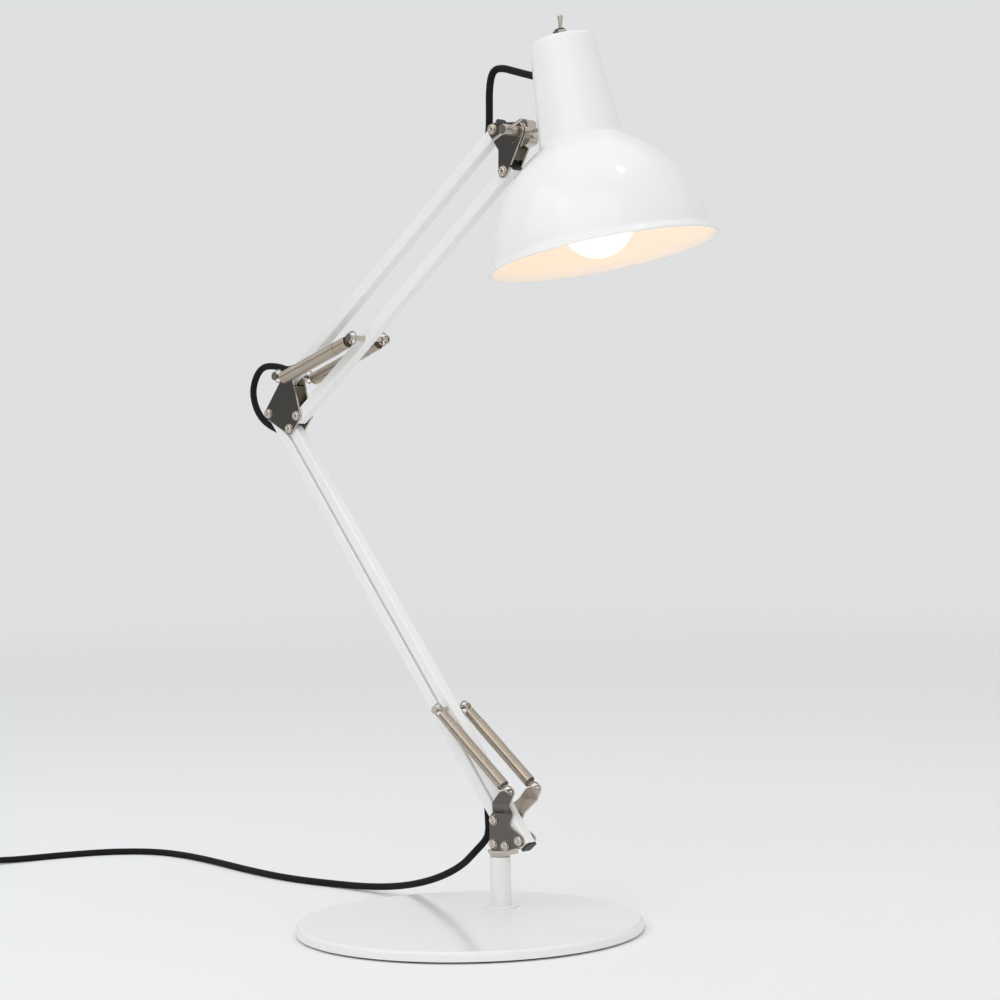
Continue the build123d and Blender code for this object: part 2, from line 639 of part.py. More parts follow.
ACROSS = Vector(0, 1, 0)
lower_pull = (spatial(LOWER_SPRING_TOP) - spatial(TAB_FRONT[:2])).normalized()
lower_hook = spatial(TAB_FRONT[:2]) + lower_pull * LOWER_COIL_RADIUS
upper_pull = (spatial(UPPER_SPRING_TOP) - spatial(UPPER_REAR)).normalized()
for name, way in (("far", 1), ("near", -1)):
    out = ACROSS * (way * LOWER_SPRING_SPREAD)
    lower_eye = lower_hook + out
    lower_spring, least, length = spring(
        lower_eye, spatial(LOWER_SPRING_TOP) + out, ACROSS * way, lower_pull.cross(ACROSS),
        LOWER_COIL_RADIUS, LOWER_WIRE,
    )
    save(lower_spring, f"lower_spring_{name}")
    print(f"lower_spring_{name}: wire {length:.0f} mm, least gap {least:.2f} mm")
    out = ACROSS * (way * UPPER_SPRING_SPREAD)
    upper_spring, least, length = spring(
        spatial(UPPER_REAR) + out, spatial(UPPER_SPRING_TOP) + out, upper_pull.cross(ACROSS),
        upper_pull.cross(ACROSS), UPPER_COIL_RADIUS, UPPER_WIRE,
    )
    save(upper_spring, f"upper_spring_{name}")
    print(f"upper_spring_{name}: wire {length:.0f} mm, least gap {least:.2f} mm")

# Head joint: block on the tilt bolt, stem to the shade, clamp with a tommy bar
TILT_SIDE = Plane(origin=spatial(TILT_AXIS), x_dir=STEM, z_dir=(0, -1, 0))
block_middle = (TILT_BLOCK[0] / 2 - TILT_BLOCK_BACK, TILT_BLOCK_TOP - TILT_BLOCK[1] / 2)
with BuildPart() as tilt_block:
    with BuildSketch(TILT_SIDE):
        with Locations(block_middle):
            RectangleRounded(TILT_BLOCK[0], TILT_BLOCK[1], TILT_BLOCK_ROUND)
        Circle(TILT_BOLT / 2 + RUNNING, mode=Mode.SUBTRACT)
    extrude(amount=PLATE_IN - TILT_GAP, both=True)
    with BuildSketch(Plane(origin=STEM_FOOT, z_dir=STEM)):
        Circle(STEM_DIAMETER / 2 + RUNNING)
    extrude(amount=TILT_BLOCK[0], mode=Mode.SUBTRACT)
save(tilt_block.part, "tilt_block")

NECK_AT_STEM = neck_radius(STEM_HEIGHT)
collar_off = off_neck(STEM_COLLAR[0] / 2, STEM_HEIGHT)[0]
nut_off = off_neck(STEM_NUT[0] / math.sqrt(3), STEM_HEIGHT)[1]
STEM_FACE = STEM_REACH - NECK_AT_STEM - GAP / 3 - collar_off  # collar face beside the neck
NUT_FACE = STEM_REACH - NECK_AT_STEM + SHADE_WALL + GAP / 3 + nut_off  # nut face inside the neck
with BuildPart() as stem:
    with BuildSketch(Plane(origin=STEM_FOOT + STEM * TILT_BOLT, z_dir=STEM)):
        Circle(STEM_DIAMETER / 2)
    extrude(amount=NUT_FACE + STEM_NUT[1] - TILT_BOLT)
    with BuildSketch(Plane(origin=STEM_FOOT + STEM * STEM_FACE, z_dir=STEM)):
        Circle(STEM_COLLAR[0] / 2)
    extrude(amount=-STEM_COLLAR[1])
save(stem.part, "stem")

with BuildPart() as stem_nut:
    with BuildSketch(Plane(origin=STEM_FOOT + STEM * NUT_FACE, z_dir=STEM)):
        RegularPolygon(STEM_NUT[0] / 2, 6, major_radius=False)
        Circle(STEM_DIAMETER / 2 + RUNNING, mode=Mode.SUBTRACT)
    extrude(amount=STEM_NUT[1])
save(stem_nut.part, "stem_nut")

CLAMP_FACE = PLATE_OUT + GAP
with BuildPart() as tilt_bolt:
    with BuildSketch(side(PLATE_OUT)):
        with Locations(TILT_AXIS):
            Circle(TILT_BOLT / 2)
    extrude(amount=PLATE_OUT + CLAMP_FACE + CLAMP_BARREL[1] - 2 * END_CAP)
    with BuildSketch(side(PLATE_OUT)):
        with Locations(TILT_AXIS):
            Circle(TILT_BOLT_HEAD[0] / 2)
    extrude(amount=-TILT_BOLT_HEAD[1])
    fillet(tilt_bolt.edges().group_by(Axis.Y)[-1], radius=HEAD_ROUND)
    with BuildSketch(side(-CLAMP_FACE - CLAMP_BARREL[1] + TOMMY_BAR_INSET + TOMMY_BAR[0])):
        with Locations(TILT_AXIS):
            Circle(TILT_BOLT)
    extrude(amount=CLAMP_BARREL[1], mode=Mode.SUBTRACT)
save(tilt_bolt.part, "tilt_bolt")

TOMMY_Y = -CLAMP_FACE - CLAMP_BARREL[1] + TOMMY_BAR_INSET
with BuildPart() as clamp_barrel:
    with BuildSketch(side(-CLAMP_FACE)):
        with Locations(TILT_AXIS):
            Circle(CLAMP_BARREL[0] / 2)
    extrude(amount=CLAMP_BARREL[1])
    fillet(clamp_barrel.edges().group_by(Axis.Y)[0], radius=HEAD_ROUND / 2)
    with BuildSketch(side(-CLAMP_FACE)):
        with Locations(TILT_AXIS):
            Circle(TILT_BOLT / 2 + RUNNING)
    extrude(amount=CLAMP_BARREL[1] - TOMMY_BAR_INSET - TOMMY_BAR[0] / 2 - RUNNING, mode=Mode.SUBTRACT)
    with BuildSketch(Plane(origin=spatial(TILT_AXIS, TOMMY_Y), z_dir=spatial(heading(TOMMY_BAR_SLOPE)))):
        Circle(TOMMY_BAR[0] / 2 + RUNNING)
    extrude(amount=CLAMP_BARREL[0], both=True, mode=Mode.SUBTRACT)
save(clamp_barrel.part, "clamp_barrel")

with BuildPart() as tommy_bar:
    with BuildSketch(Plane(origin=spatial(TILT_AXIS, TOMMY_Y), z_dir=spatial(heading(TOMMY_BAR_SLOPE)))):
        Circle(TOMMY_BAR[0] / 2)
    extrude(amount=TOMMY_BAR[1] / 2, both=True)
    fillet(tommy_bar.edges().filter_by(GeomType.CIRCLE), radius=TOMMY_BAR[0] / 4)
save(tommy_bar.part, "tommy_bar")

# Shade: spun bell with a tapered neck and a flared rim
CORD_INLET = SHADE_FOOT + RISE * CORD_HEIGHT - STEM * neck_radius(CORD_HEIGHT)
INLET_WAY = spatial(heading(-INLET_DIP))
CROWN_TOP = SHADE_TOP[1] + SHADE_CROWN
INNER_TOP = CROWN_TOP - SHADE_WALL
INNER_ROUND = SHADE_TOP_ROUND - SHADE_WALL
with BuildPart() as shade:
    with BuildSketch(SHADE_SIDE):
        with BuildLine():
            lip = Line((SHADE_RIM_RADIUS - SHADE_WALL, 0), (SHADE_RIM_RADIUS, 0))
            flare = TangentArc(lip @ 1, SHADE_SKIRT, tangent=(-1, 1))
            bell = ThreePointArc(flare @ 1, SHADE_SHOULDER, SHADE_CREASE)
            neck = FilletPolyline(
                bell @ 1, SHADE_TOP, (SHADE_LAND, CROWN_TOP), (0, CROWN_TOP),
                radius=[SHADE_TOP_ROUND, SHADE_LAND_ROUND],
            )
            Line(neck @ 1, (0, INNER_TOP))
            inner_neck = FilletPolyline(
                (0, INNER_TOP),
                (SHADE_LAND, INNER_TOP),
                (SHADE_TOP[0] - SHADE_WALL, SHADE_TOP[1] - SHADE_WALL),
                (SHADE_CREASE[0] - SHADE_WALL, SHADE_CREASE[1] - SHADE_WALL / 2),
                radius=[SHADE_LAND_ROUND, INNER_ROUND],
            )
            inner_bell = ThreePointArc(
                inner_neck @ 1,
                (SHADE_SHOULDER[0] - SHADE_WALL * 0.8, SHADE_SHOULDER[1] - SHADE_WALL * 0.8),
                (SHADE_SKIRT[0] - SHADE_WALL, SHADE_SKIRT[1]),
            )
            TangentArc(lip @ 0, inner_bell @ 1, tangent=(-1, 1))
        make_face()
    revolve(axis=SHADE_AXIS)
    with BuildSketch(Plane(origin=STEM_FOOT, z_dir=STEM)):
        Circle(STEM_DIAMETER / 2 + RUNNING)
    extrude(amount=STEM_REACH, mode=Mode.SUBTRACT)
    with BuildSketch(Plane(origin=CORD_INLET, z_dir=INLET_WAY)):
        Circle(CORD / 2 + GROMMET_WALL)
    extrude(amount=SHADE_TOP[0] / 2, both=True, mode=Mode.SUBTRACT)
    with BuildSketch(shade_level(CROWN_TOP)):
        Circle(SWITCH_BUSH / 2 + RUNNING)
    extrude(amount=-2 * SHADE_WALL, mode=Mode.SUBTRACT)
save(shade.part, "shade")

# Rubber sleeve where the cord slopes into the neck
with BuildPart() as cord_grommet:
    with BuildSketch(Plane(origin=CORD_INLET + INLET_WAY * GROMMET_ENDS[1], z_dir=-INLET_WAY)):
        Circle(CORD / 2 + GROMMET_WALL - RUNNING)
    extrude(amount=sum(GROMMET_ENDS))
    fillet(cord_grommet.faces().sort_by(Axis(CORD_INLET, -INLET_WAY))[-1].edges(), radius=GROMMET_WALL / 2)
    with BuildSketch(Plane(origin=CORD_INLET, z_dir=INLET_WAY)):
        Circle(CORD / 2 + RUNNING)
    extrude(amount=2 * sum(GROMMET_ENDS), both=True, mode=Mode.SUBTRACT)
save(cord_grommet.part, "cord_grommet")

# Lamp holder on its carrier disc, which seats in the taper of the neck
carrier_radius = neck_radius(HOLDER_TOP) - SHADE_WALL * 1.05 - RUNNING
carrier_top_radius = neck_radius(HOLDER_TOP + CARRIER_THICKNESS) - SHADE_WALL * 1.05 - RUNNING
with BuildPart() as holder_carrier:
    with BuildSketch(SHADE_SIDE):
        with BuildLine():
            Polyline(
                (CARRIER_STUD / 2 + RUNNING, HOLDER_TOP),
                (carrier_radius, HOLDER_TOP),
                (carrier_top_radius, HOLDER_TOP + CARRIER_THICKNESS),
                (CARRIER_STUD / 2 + RUNNING, HOLDER_TOP + CARRIER_THICKNESS),
                close=True,
            )
        make_face()
    revolve(axis=SHADE_AXIS)
save(holder_carrier.part, "holder_carrier")

BULB_CAP_TOP = BULB_NECK[1] + BULB_CAP[1]
with BuildPart() as lamp_holder:
    with BuildSketch(shade_level(HOLDER_BOTTOM)):
        Circle(HOLDER_DIAMETER / 2)
    extrude(amount=HOLDER_TOP - HOLDER_BOTTOM)
    fillet(lamp_holder.faces().sort_by(Axis(SHADE_FOOT, RISE))[-1].edges(), radius=HOLDER_LIP * 2)
    with BuildSketch(shade_level(HOLDER_BOTTOM)):
        Circle(HOLDER_DIAMETER / 2 + HOLDER_LIP)
    extrude(amount=2 * HOLDER_LIP)
    with BuildSketch(shade_level(HOLDER_TOP)):
        Circle(CARRIER_STUD / 2)
    extrude(amount=2 * CARRIER_THICKNESS)
    with BuildSketch(shade_level(HOLDER_BOTTOM)):
        Circle(BULB_CAP[0] / 2 + 2 * GAP)
    extrude(amount=BULB_CAP_TOP + GAP - HOLDER_BOTTOM, mode=Mode.SUBTRACT)
save(lamp_holder.part, "lamp_holder")

with BuildPart() as bulb_glass:
    with BuildSketch(SHADE_SIDE):
        with BuildLine():
            globe = CenterArc((0, BULB_CENTRE), BULB_RADIUS, -90, 130)
            throat = TangentArc(globe @ 1, BULB_NECK, tangent=globe % 1)
            Polyline(throat @ 1, (0, BULB_NECK[1]), globe @ 0)
        make_face()
    revolve(axis=SHADE_AXIS)
save(bulb_glass.part, "bulb_glass")

with BuildPart() as bulb_cap:
    with BuildSketch(shade_level(BULB_NECK[1])):
        Circle(BULB_CAP[0] / 2)
    extrude(amount=BULB_CAP[1])
    chamfer(bulb_cap.faces().sort_by(Axis(SHADE_FOOT, RISE))[-1].edges(), length=BULB_CAP[0] / 6)
save(bulb_cap.part, "bulb_cap")

# Toggle switch in the top of the neck
with BuildPart() as switch_body:
    with BuildSketch(shade_level(INNER_TOP)):
        Rectangle(SWITCH_BODY[0], SWITCH_BODY[1])
    extrude(amount=-SWITCH_BODY[2])
    with BuildSketch(shade_level(INNER_TOP)):
        Circle(SWITCH_BUSH / 2)
    extrude(amount=SHADE_WALL + SWITCH_NUT[1] + SWITCH_BUSH_PROUD)
    with BuildSketch(shade_level(INNER_TOP)):
        Circle(SWITCH_THROAT / 2)
    extrude(amount=2 * (SHADE_WALL + SWITCH_NUT[1] + SWITCH_BUSH_PROUD), mode=Mode.SUBTRACT)
save(switch_body.part, "switch_body")

with BuildPart() as switch_nut:
    with BuildSketch(shade_level(CROWN_TOP)):
        RegularPolygon(SWITCH_NUT[0] / 2, 6, major_radius=False)
        Circle(SWITCH_BUSH / 2 + RUNNING, mode=Mode.SUBTRACT)
    extrude(amount=SWITCH_NUT[1])
save(switch_nut.part, "switch_nut")

LEVER_PIVOT = SHADE_FOOT + RISE * (CROWN_TOP + SWITCH_NUT[1] / 2)
LEVER_WAY = RISE.rotate(Axis((0, 0, 0), RISE.cross(STEM)), LEVER_TILT)
LEVER_REACH = LEVER_LENGTH + SWITCH_NUT[1] / 2
with BuildPart() as switch_lever:
    with BuildSketch(Plane(origin=LEVER_PIVOT, x_dir=LEVER_WAY, z_dir=STEM.cross(RISE))):
        with BuildLine():
            bat = Polyline((0, 0), (0, LEVER_RADII[0]), (LEVER_REACH - LEVER_RADII[1], LEVER_RADII[1]))
            tip = CenterArc((LEVER_REACH - LEVER_RADII[1], 0), LEVER_RADII[1], 90, -90)
            Line(tip @ 1, bat @ 0)
        make_face()
    revolve(axis=Axis(LEVER_PIVOT, LEVER_WAY))
save(switch_lever.part, "switch_lever")


def bend_radii(points):
    """Largest even radius at each inner point of a route: a share of the shorter run beside it."""
    radii = []
    for before, here, after in zip(points, points[1:], points[2:]):
        turn = math.radians((here - before).get_angle(after - here))
        run = min((here - before).length, (after - here).length)
        radii.append(BEND_SHARE * run / math.tan(turn / 2))
    return radii


def cord_tube(node, points):
    """Cord along a route of straight runs and tangent arcs."""
    points = [Vector(*point) for point in points]
    radii = bend_radii(points)
    with BuildPart() as tube:
        with BuildLine() as route:
            FilletPolyline(*points, radius=radii)
        with BuildSketch(Plane(origin=points[0], z_dir=points[1] - points[0])):
            Circle(CORD / 2)
        sweep()
    length = sum(edge.length for edge in route.edges())
    section = math.pi * CORD**2 / 4
    share = tube.part.volume / (section * length)
    print(f"{node}: length {length:.0f} mm, volume {share:.4f} of section times length,",
          "radii", " ".join(f"{radius:.0f}" for radius in radii))
    save(tube.part, node)


def bar_point(pivot, degrees, distance):
    """Point on a bar's axis."""
    return spatial(step(pivot, heading(degrees), distance))


# Cord in the rear bars, and its loops past the pivots
lower_run = [bar_point(REAR_PIVOT, LOWER_HEADING, d) for d in (RUN_INSET + GAP, LOWER_LENGTH - RUN_INSET - GAP)]
upper_run = [bar_point(UPPER_REAR, UPPER_RISE, d) for d in (RUN_INSET + GAP, UPPER_LENGTH - RUN_INSET - GAP)]
for node, (start, end) in (("cord_lower_run", lower_run), ("cord_upper_run", upper_run)):
    with BuildPart() as run:
        with BuildSketch(Plane(origin=start, z_dir=end - start)):
            Circle(CORD / 2)
        extrude(amount=(end - start).length)
    save(run.part, node)

cord_tube(
    "cord_foot_bend",
    [bar_point(REAR_PIVOT, LOWER_HEADING, d) for d in (RUN_INSET, LOOP_INSET)]
    + [spatial(point) for point in FOOT_ROUTE]
    + [spatial(FOOT_END)],
)
cord_tube(
    "cord_elbow_loop",
    [bar_point(REAR_PIVOT, LOWER_HEADING, LOWER_LENGTH - d) for d in (RUN_INSET, LOOP_INSET)]
    + [spatial(step(ELBOW_REAR, move)) for move in ELBOW_ROUTE]
    + [bar_point(UPPER_REAR, UPPER_RISE, d) for d in (LOOP_INSET, RUN_INSET)],
)
cord_tube(
    "cord_head_loop",
    [bar_point(UPPER_REAR, UPPER_RISE, UPPER_LENGTH - d) for d in (RUN_INSET, LOOP_INSET)]
    + [spatial(step(HEAD_REAR, move)) for move in HEAD_ROUTE]
    + [CORD_INLET - INLET_WAY * INLET_RUN[0], CORD_INLET + INLET_WAY * INLET_RUN[1]],
)

# Mains cord to the put-away coil: in along the floor, up a layer, out again, and on to the plug
COIL_HEIGHT = FLOOR_CORD + COIL_LIFT
SIGN = -1.0  # turns run clockwise from above
half = COIL_TURNS / 2
coil_knots = []
coil_steps = int(COIL_TURNS * 4)


def coil_place(turns):
    """Point of the coil after a number of turns."""
    climb = min(max((turns - half) / COIL_CLIMB + 0.5, 0.0), 1.0)
    inward = min(turns, COIL_TURNS - turns)
    radius = COIL_RADIUS - COIL_STEP * inward
    angle = SIGN * 2 * math.pi * turns
    height = COIL_HEIGHT + COIL_STEP * climb * climb * (3 - 2 * climb)
    return Vector(COIL_CENTRE[0] + radius * math.cos(angle), COIL_CENTRE[1] + radius * math.sin(angle), height)


for index in range(coil_steps + 1):
    turns = index * COIL_TURNS / coil_steps
    way = coil_place(turns + 0.001) - coil_place(turns - 0.001)
    coil_knots.append((coil_place(turns), way.normalized()))
coil_in = coil_knots[0]
coil_out = coil_knots[-1]
PLUG_WAY = Vector(0, -1, 0)
PLUG_FACE = Vector(coil_out[0].X + COIL_TAIL[0], coil_out[0].Y + COIL_TAIL[1], PLUG[2] / 2)
coil_knots.insert(0, (coil_in[0] - coil_in[1] * CORD, coil_in[1]))
coil_knots.append((PLUG_FACE - PLUG_WAY * CORD, PLUG_WAY))
coil_knots.append((PLUG_FACE, PLUG_WAY))
cord_coil, least, coil_length = wound_tube(coil_knots, CORD, COIL_SIDES)
print(f"cord_coil: length {coil_length:.0f} mm, least gap {least:.2f} mm")
save(cord_coil, "cord_coil")

coil_gate = coil_knots[0][0] - coil_in[1] * (2 * GAP / 3)
foot_way = (spatial(FOOT_END) - spatial(FOOT_ROUTE[-1])).normalized()
mains_foot = [spatial(FOOT_END) + foot_way * distance for distance in (GAP, MAINS_START)]
cord_tube("mains_cord", [*mains_foot, *MAINS_ROUTE, coil_gate - coil_in[1] * COIL_RUN_IN, coil_gate])

# Tie round the coil's strands
tie_inner = COIL_RADIUS - COIL_STEP * (half - 0.25) - CORD / 2 - GAP
tie_outer = COIL_RADIUS + CORD / 2 + GAP
tie_size = (tie_outer - tie_inner, COIL_STEP + CORD + 2 * GAP)
tie_middle = (tie_outer + tie_inner) / 2
tie_way = Vector(math.cos(math.radians(TIE_ANGLE)), math.sin(math.radians(TIE_ANGLE)), 0)
tie_place = Vector(*COIL_CENTRE, COIL_HEIGHT + COIL_STEP / 2) + tie_way * tie_middle
with BuildPart() as coil_tie:
    with BuildSketch(Plane(origin=tie_place, x_dir=tie_way, z_dir=tie_way.cross(Vector(0, 0, 1)))):
        RectangleRounded(tie_size[0] + 2 * TIE_THICKNESS, tie_size[1] + 2 * TIE_THICKNESS, CORD / 2)
        RectangleRounded(*tie_size, CORD / 2 - TIE_THICKNESS, mode=Mode.SUBTRACT)
    extrude(amount=TIE_WIDTH / 2, both=True)
save(coil_tie.part, "coil_tie")

# Plug: flat moulded body with a tapered strain relief and two round pins
relief_end = PLUG_FACE + PLUG_WAY * PLUG_RELIEF[1]
plug_end = relief_end + PLUG_WAY * PLUG[1]
with BuildPart() as plug_body:
    with BuildSketch(Plane(origin=PLUG_FACE, x_dir=(1, 0, 0), z_dir=PLUG_WAY)):
        Circle(CORD / 2 + GROMMET_WALL / 2)
    with BuildSketch(Plane(origin=relief_end, x_dir=(1, 0, 0), z_dir=PLUG_WAY)):
        Circle(PLUG_RELIEF[0] / 2)
    loft()
    with BuildSketch(Plane(origin=relief_end - PLUG_WAY * GAP, x_dir=(1, 0, 0), z_dir=PLUG_WAY)):
        RectangleRounded(PLUG_NOSE, PLUG[2], PLUG[2] * 0.3)
    with BuildSketch(Plane(origin=(relief_end + plug_end) / 2, x_dir=(1, 0, 0), z_dir=PLUG_WAY)):
        RectangleRounded(PLUG[0], PLUG[2], PLUG[2] * 0.3)
    with BuildSketch(Plane(origin=plug_end, x_dir=(1, 0, 0), z_dir=PLUG_WAY)):
        RectangleRounded(PLUG[0], PLUG[2], PLUG[2] * 0.3)
    loft(ruled=True)
save(plug_body.part, "plug_body")

with BuildPart() as plug_pins:
    with BuildSketch(Plane(origin=plug_end, x_dir=(1, 0, 0), z_dir=PLUG_WAY)):
        with GridLocations(PLUG_PIN_SPACING, 0, 2, 1):
            Circle(PLUG_PIN[0] / 2)
    extrude(amount=PLUG_PIN[1])
    fillet(plug_pins.edges().group_by(Axis.Y)[0], radius=PLUG_PIN[0] / 2 - RUNNING)
save(plug_pins.part, "plug_pins")
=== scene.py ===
import json
import math

import bpy
from mathutils import Matrix, Quaternion, Vector


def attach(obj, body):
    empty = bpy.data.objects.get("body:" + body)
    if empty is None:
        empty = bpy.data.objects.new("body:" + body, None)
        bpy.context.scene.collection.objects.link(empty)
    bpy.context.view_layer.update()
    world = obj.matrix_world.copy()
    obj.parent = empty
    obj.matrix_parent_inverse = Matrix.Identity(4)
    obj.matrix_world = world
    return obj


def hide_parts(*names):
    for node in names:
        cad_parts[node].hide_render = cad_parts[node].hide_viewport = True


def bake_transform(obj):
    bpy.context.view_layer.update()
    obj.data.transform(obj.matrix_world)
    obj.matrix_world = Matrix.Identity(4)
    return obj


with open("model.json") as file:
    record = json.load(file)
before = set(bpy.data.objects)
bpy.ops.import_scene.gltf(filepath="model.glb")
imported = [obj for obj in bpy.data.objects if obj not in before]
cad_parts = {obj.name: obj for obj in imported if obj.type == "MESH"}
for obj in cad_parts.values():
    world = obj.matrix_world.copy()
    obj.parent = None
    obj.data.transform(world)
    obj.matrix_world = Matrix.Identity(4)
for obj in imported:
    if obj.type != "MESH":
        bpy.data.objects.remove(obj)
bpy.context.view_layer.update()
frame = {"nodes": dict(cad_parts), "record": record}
nodes = frame["nodes"]
MM = 0.001


def mm(*values):
    """Point given in millimetres."""
    return Vector(values) * MM


# Frame of the lamp, in millimetres
REAR_PIVOT = Vector((0.5, 0, 70.5))
FRONT_PIVOT = Vector((25.1, 0, 57.9))
LOWER_WAY = Vector((math.cos(math.radians(129.0)), 0, math.sin(math.radians(129.0))))
UPPER_WAY = Vector((math.cos(math.radians(35.4)), 0, math.sin(math.radians(35.4))))
LOWER_LENGTH = 384.0
UPPER_LENGTH = 282.0
ELBOW_REAR = REAR_PIVOT + LOWER_WAY * LOWER_LENGTH
ELBOW_FRONT = FRONT_PIVOT + LOWER_WAY * LOWER_LENGTH
UPPER_FRONT = ELBOW_FRONT + Vector((8.8, 0, 9.7))
UPPER_REAR = UPPER_FRONT + Vector((-9.7, 0, 30.8))
HEAD_FRONT = UPPER_FRONT + UPPER_WAY * UPPER_LENGTH
HEAD_REAR = UPPER_REAR + UPPER_WAY * UPPER_LENGTH
TILT_AXIS = HEAD_FRONT + Vector((13.9, 0, 26.6))
NOD = math.radians(9.3)
ROLL = math.radians(4.5)
STEM = Vector((math.cos(NOD), 0, math.sin(NOD)))
NODDED_UP = Vector((-math.sin(NOD), 0, math.cos(NOD)))
RISE = NODDED_UP * math.cos(ROLL) + STEM.cross(NODDED_UP) * math.sin(ROLL)
SHADE_FOOT = TILT_AXIS - NODDED_UP * 4.7 + STEM * 52.3 - RISE * 97.8
ACROSS = RISE.cross(STEM)


# Materials


class Shader:
    """A material whose Principled shader is fed by small node groups."""

    def __init__(self, name, color, roughness, metallic=0.0, **sockets):
        self.material = bpy.data.materials.new(name)
        self.material.use_nodes = True
        self.tree = self.material.node_tree
        self.main = self.tree.nodes["Principled BSDF"]
        self.main.inputs["Base Color"].default_value = (*color, 1)
        self.main.inputs["Roughness"].default_value = roughness
        self.main.inputs["Metallic"].default_value = metallic
        for socket, value in sockets.items():
            self.main.inputs[socket.replace("_", " ")].default_value = value
        self.place = self.node("ShaderNodeTexCoord")

    def node(self, kind, **settings):
        made = self.tree.nodes.new(kind)
        for name, value in settings.items():
            if name in made.inputs:
                made.inputs[name].default_value = value
            else:
                setattr(made, name, value)
        return made

    def link(self, source, target):
        self.tree.links.new(source, target)

    def noise(self, scale, detail):
        """Noise over the object's own coordinates, in cycles per metre."""
        texture = self.node("ShaderNodeTexNoise", Scale=scale, Detail=detail)
        self.link(self.place.outputs["Object"], texture.inputs["Vector"])
        return texture.outputs["Fac"]

    def spread(self, value, low, high, span=(0.3, 0.7)):
        """Remaps a value onto low to high."""
        remap = self.node("ShaderNodeMapRange")
        remap.inputs["From Min"].default_value, remap.inputs["From Max"].default_value = span
        remap.inputs["To Min"].default_value = low
        remap.inputs["To Max"].default_value = high
        self.link(value, remap.inputs["Value"])
        return remap.outputs["Result"]

    def tint(self, value, first, second):
        """Colours from first to second by a value."""
        mix = self.node("ShaderNodeMix", data_type="RGBA")
        self.link(value, mix.inputs["Factor"])
        colors = [s for s in mix.inputs if s.type == "RGBA"]
        colors[0].default_value = (*first, 1)
        colors[1].default_value = (*second, 1)
        self.link([s for s in mix.outputs if s.type == "RGBA"][0], self.main.inputs["Base Color"])

    def rough(self, value):
        self.link(value, self.main.inputs["Roughness"])

    def bump(self, height, distance):
        """Relief of the given height, in metres, on top of any relief so far."""
        relief = self.node("ShaderNodeBump", Strength=1.0, Distance=distance)
        self.link(height, relief.inputs["Height"])
        if self.main.inputs["Normal"].is_linked:
            self.link(self.main.inputs["Normal"].links[0].from_socket, relief.inputs["Normal"])
        self.link(relief.outputs["Normal"], self.main.inputs["Normal"])


def enamel(name, color, dim):
    """Gloss paint: a faint orange peel, and gloss that wanders a little."""
    paint = Shader(name, color, 0.15, Specular_IOR_Level=0.4)
    paint.tint(paint.spread(paint.noise(9.0, 1.0), 0.0, 1.0, (0.2, 0.8)), color, dim)
    paint.rough(paint.spread(paint.noise(16.0, 1.0), 0.12, 0.17, (0.2, 0.8)))
    paint.bump(paint.noise(380.0, 1.0), 0.000006)
    return paint.material


def nickel(name, color, dim, rough):
    """Plated metal with a fine polish grain and faint clouding."""
    metal = Shader(name, color, 0.2, 1.0)
    clouds = metal.noise(60.0, 5.0)
    metal.tint(metal.spread(clouds, 0.0, 1.0), color, dim)
    metal.rough(metal.spread(metal.noise(420.0, 4.0), rough[0], rough[1]))
    metal.bump(metal.noise(1400.0, 3.0), 0.000006)
    return metal.material


def sheet(name, face, edge, rough):
    """Plated metal that faces along Y, with painted light: painted dark on its faces as a painted
    reflection, and painted bright along its edges as a painted highlight.
    """
    metal = Shader(name, face, 0.14, 1.0)
    split = metal.node("ShaderNodeSeparateXYZ")
    metal.link(metal.place.outputs["Normal"], split.inputs["Vector"])
    flat = metal.node("ShaderNodeMath", operation="ABSOLUTE")
    metal.link(split.outputs["Y"], flat.inputs[0])
    # Painted highlight mask: faces along Y take the dark colour, edges turned away from Y take the bright
    # one, with noise on the border.
    painted_edge_highlight = metal.node("ShaderNodeMath", operation="MULTIPLY_ADD")
    metal.link(metal.noise(70.0, 4.0), painted_edge_highlight.inputs[0])
    painted_edge_highlight.inputs[1].default_value = -0.25
    metal.link(flat.outputs[0], painted_edge_highlight.inputs[2])
    metal.tint(metal.spread(painted_edge_highlight.outputs[0], 1.0, 0.06, (0.1, 0.5)), face, edge)
    metal.rough(metal.spread(metal.noise(420.0, 4.0), rough[0], rough[1]))
    metal.bump(metal.noise(1400.0, 3.0), 0.000006)
    return metal.material


def plastic(name, color, rough):
    """Moulded plastic with a spark-eroded grain."""
    moulded = Shader(name, color, rough)
    moulded.rough(moulded.spread(moulded.noise(90.0, 4.0), rough - 0.06, rough + 0.08))
    moulded.bump(moulded.noise(2200.0, 2.0), 0.00004)
    return moulded.material


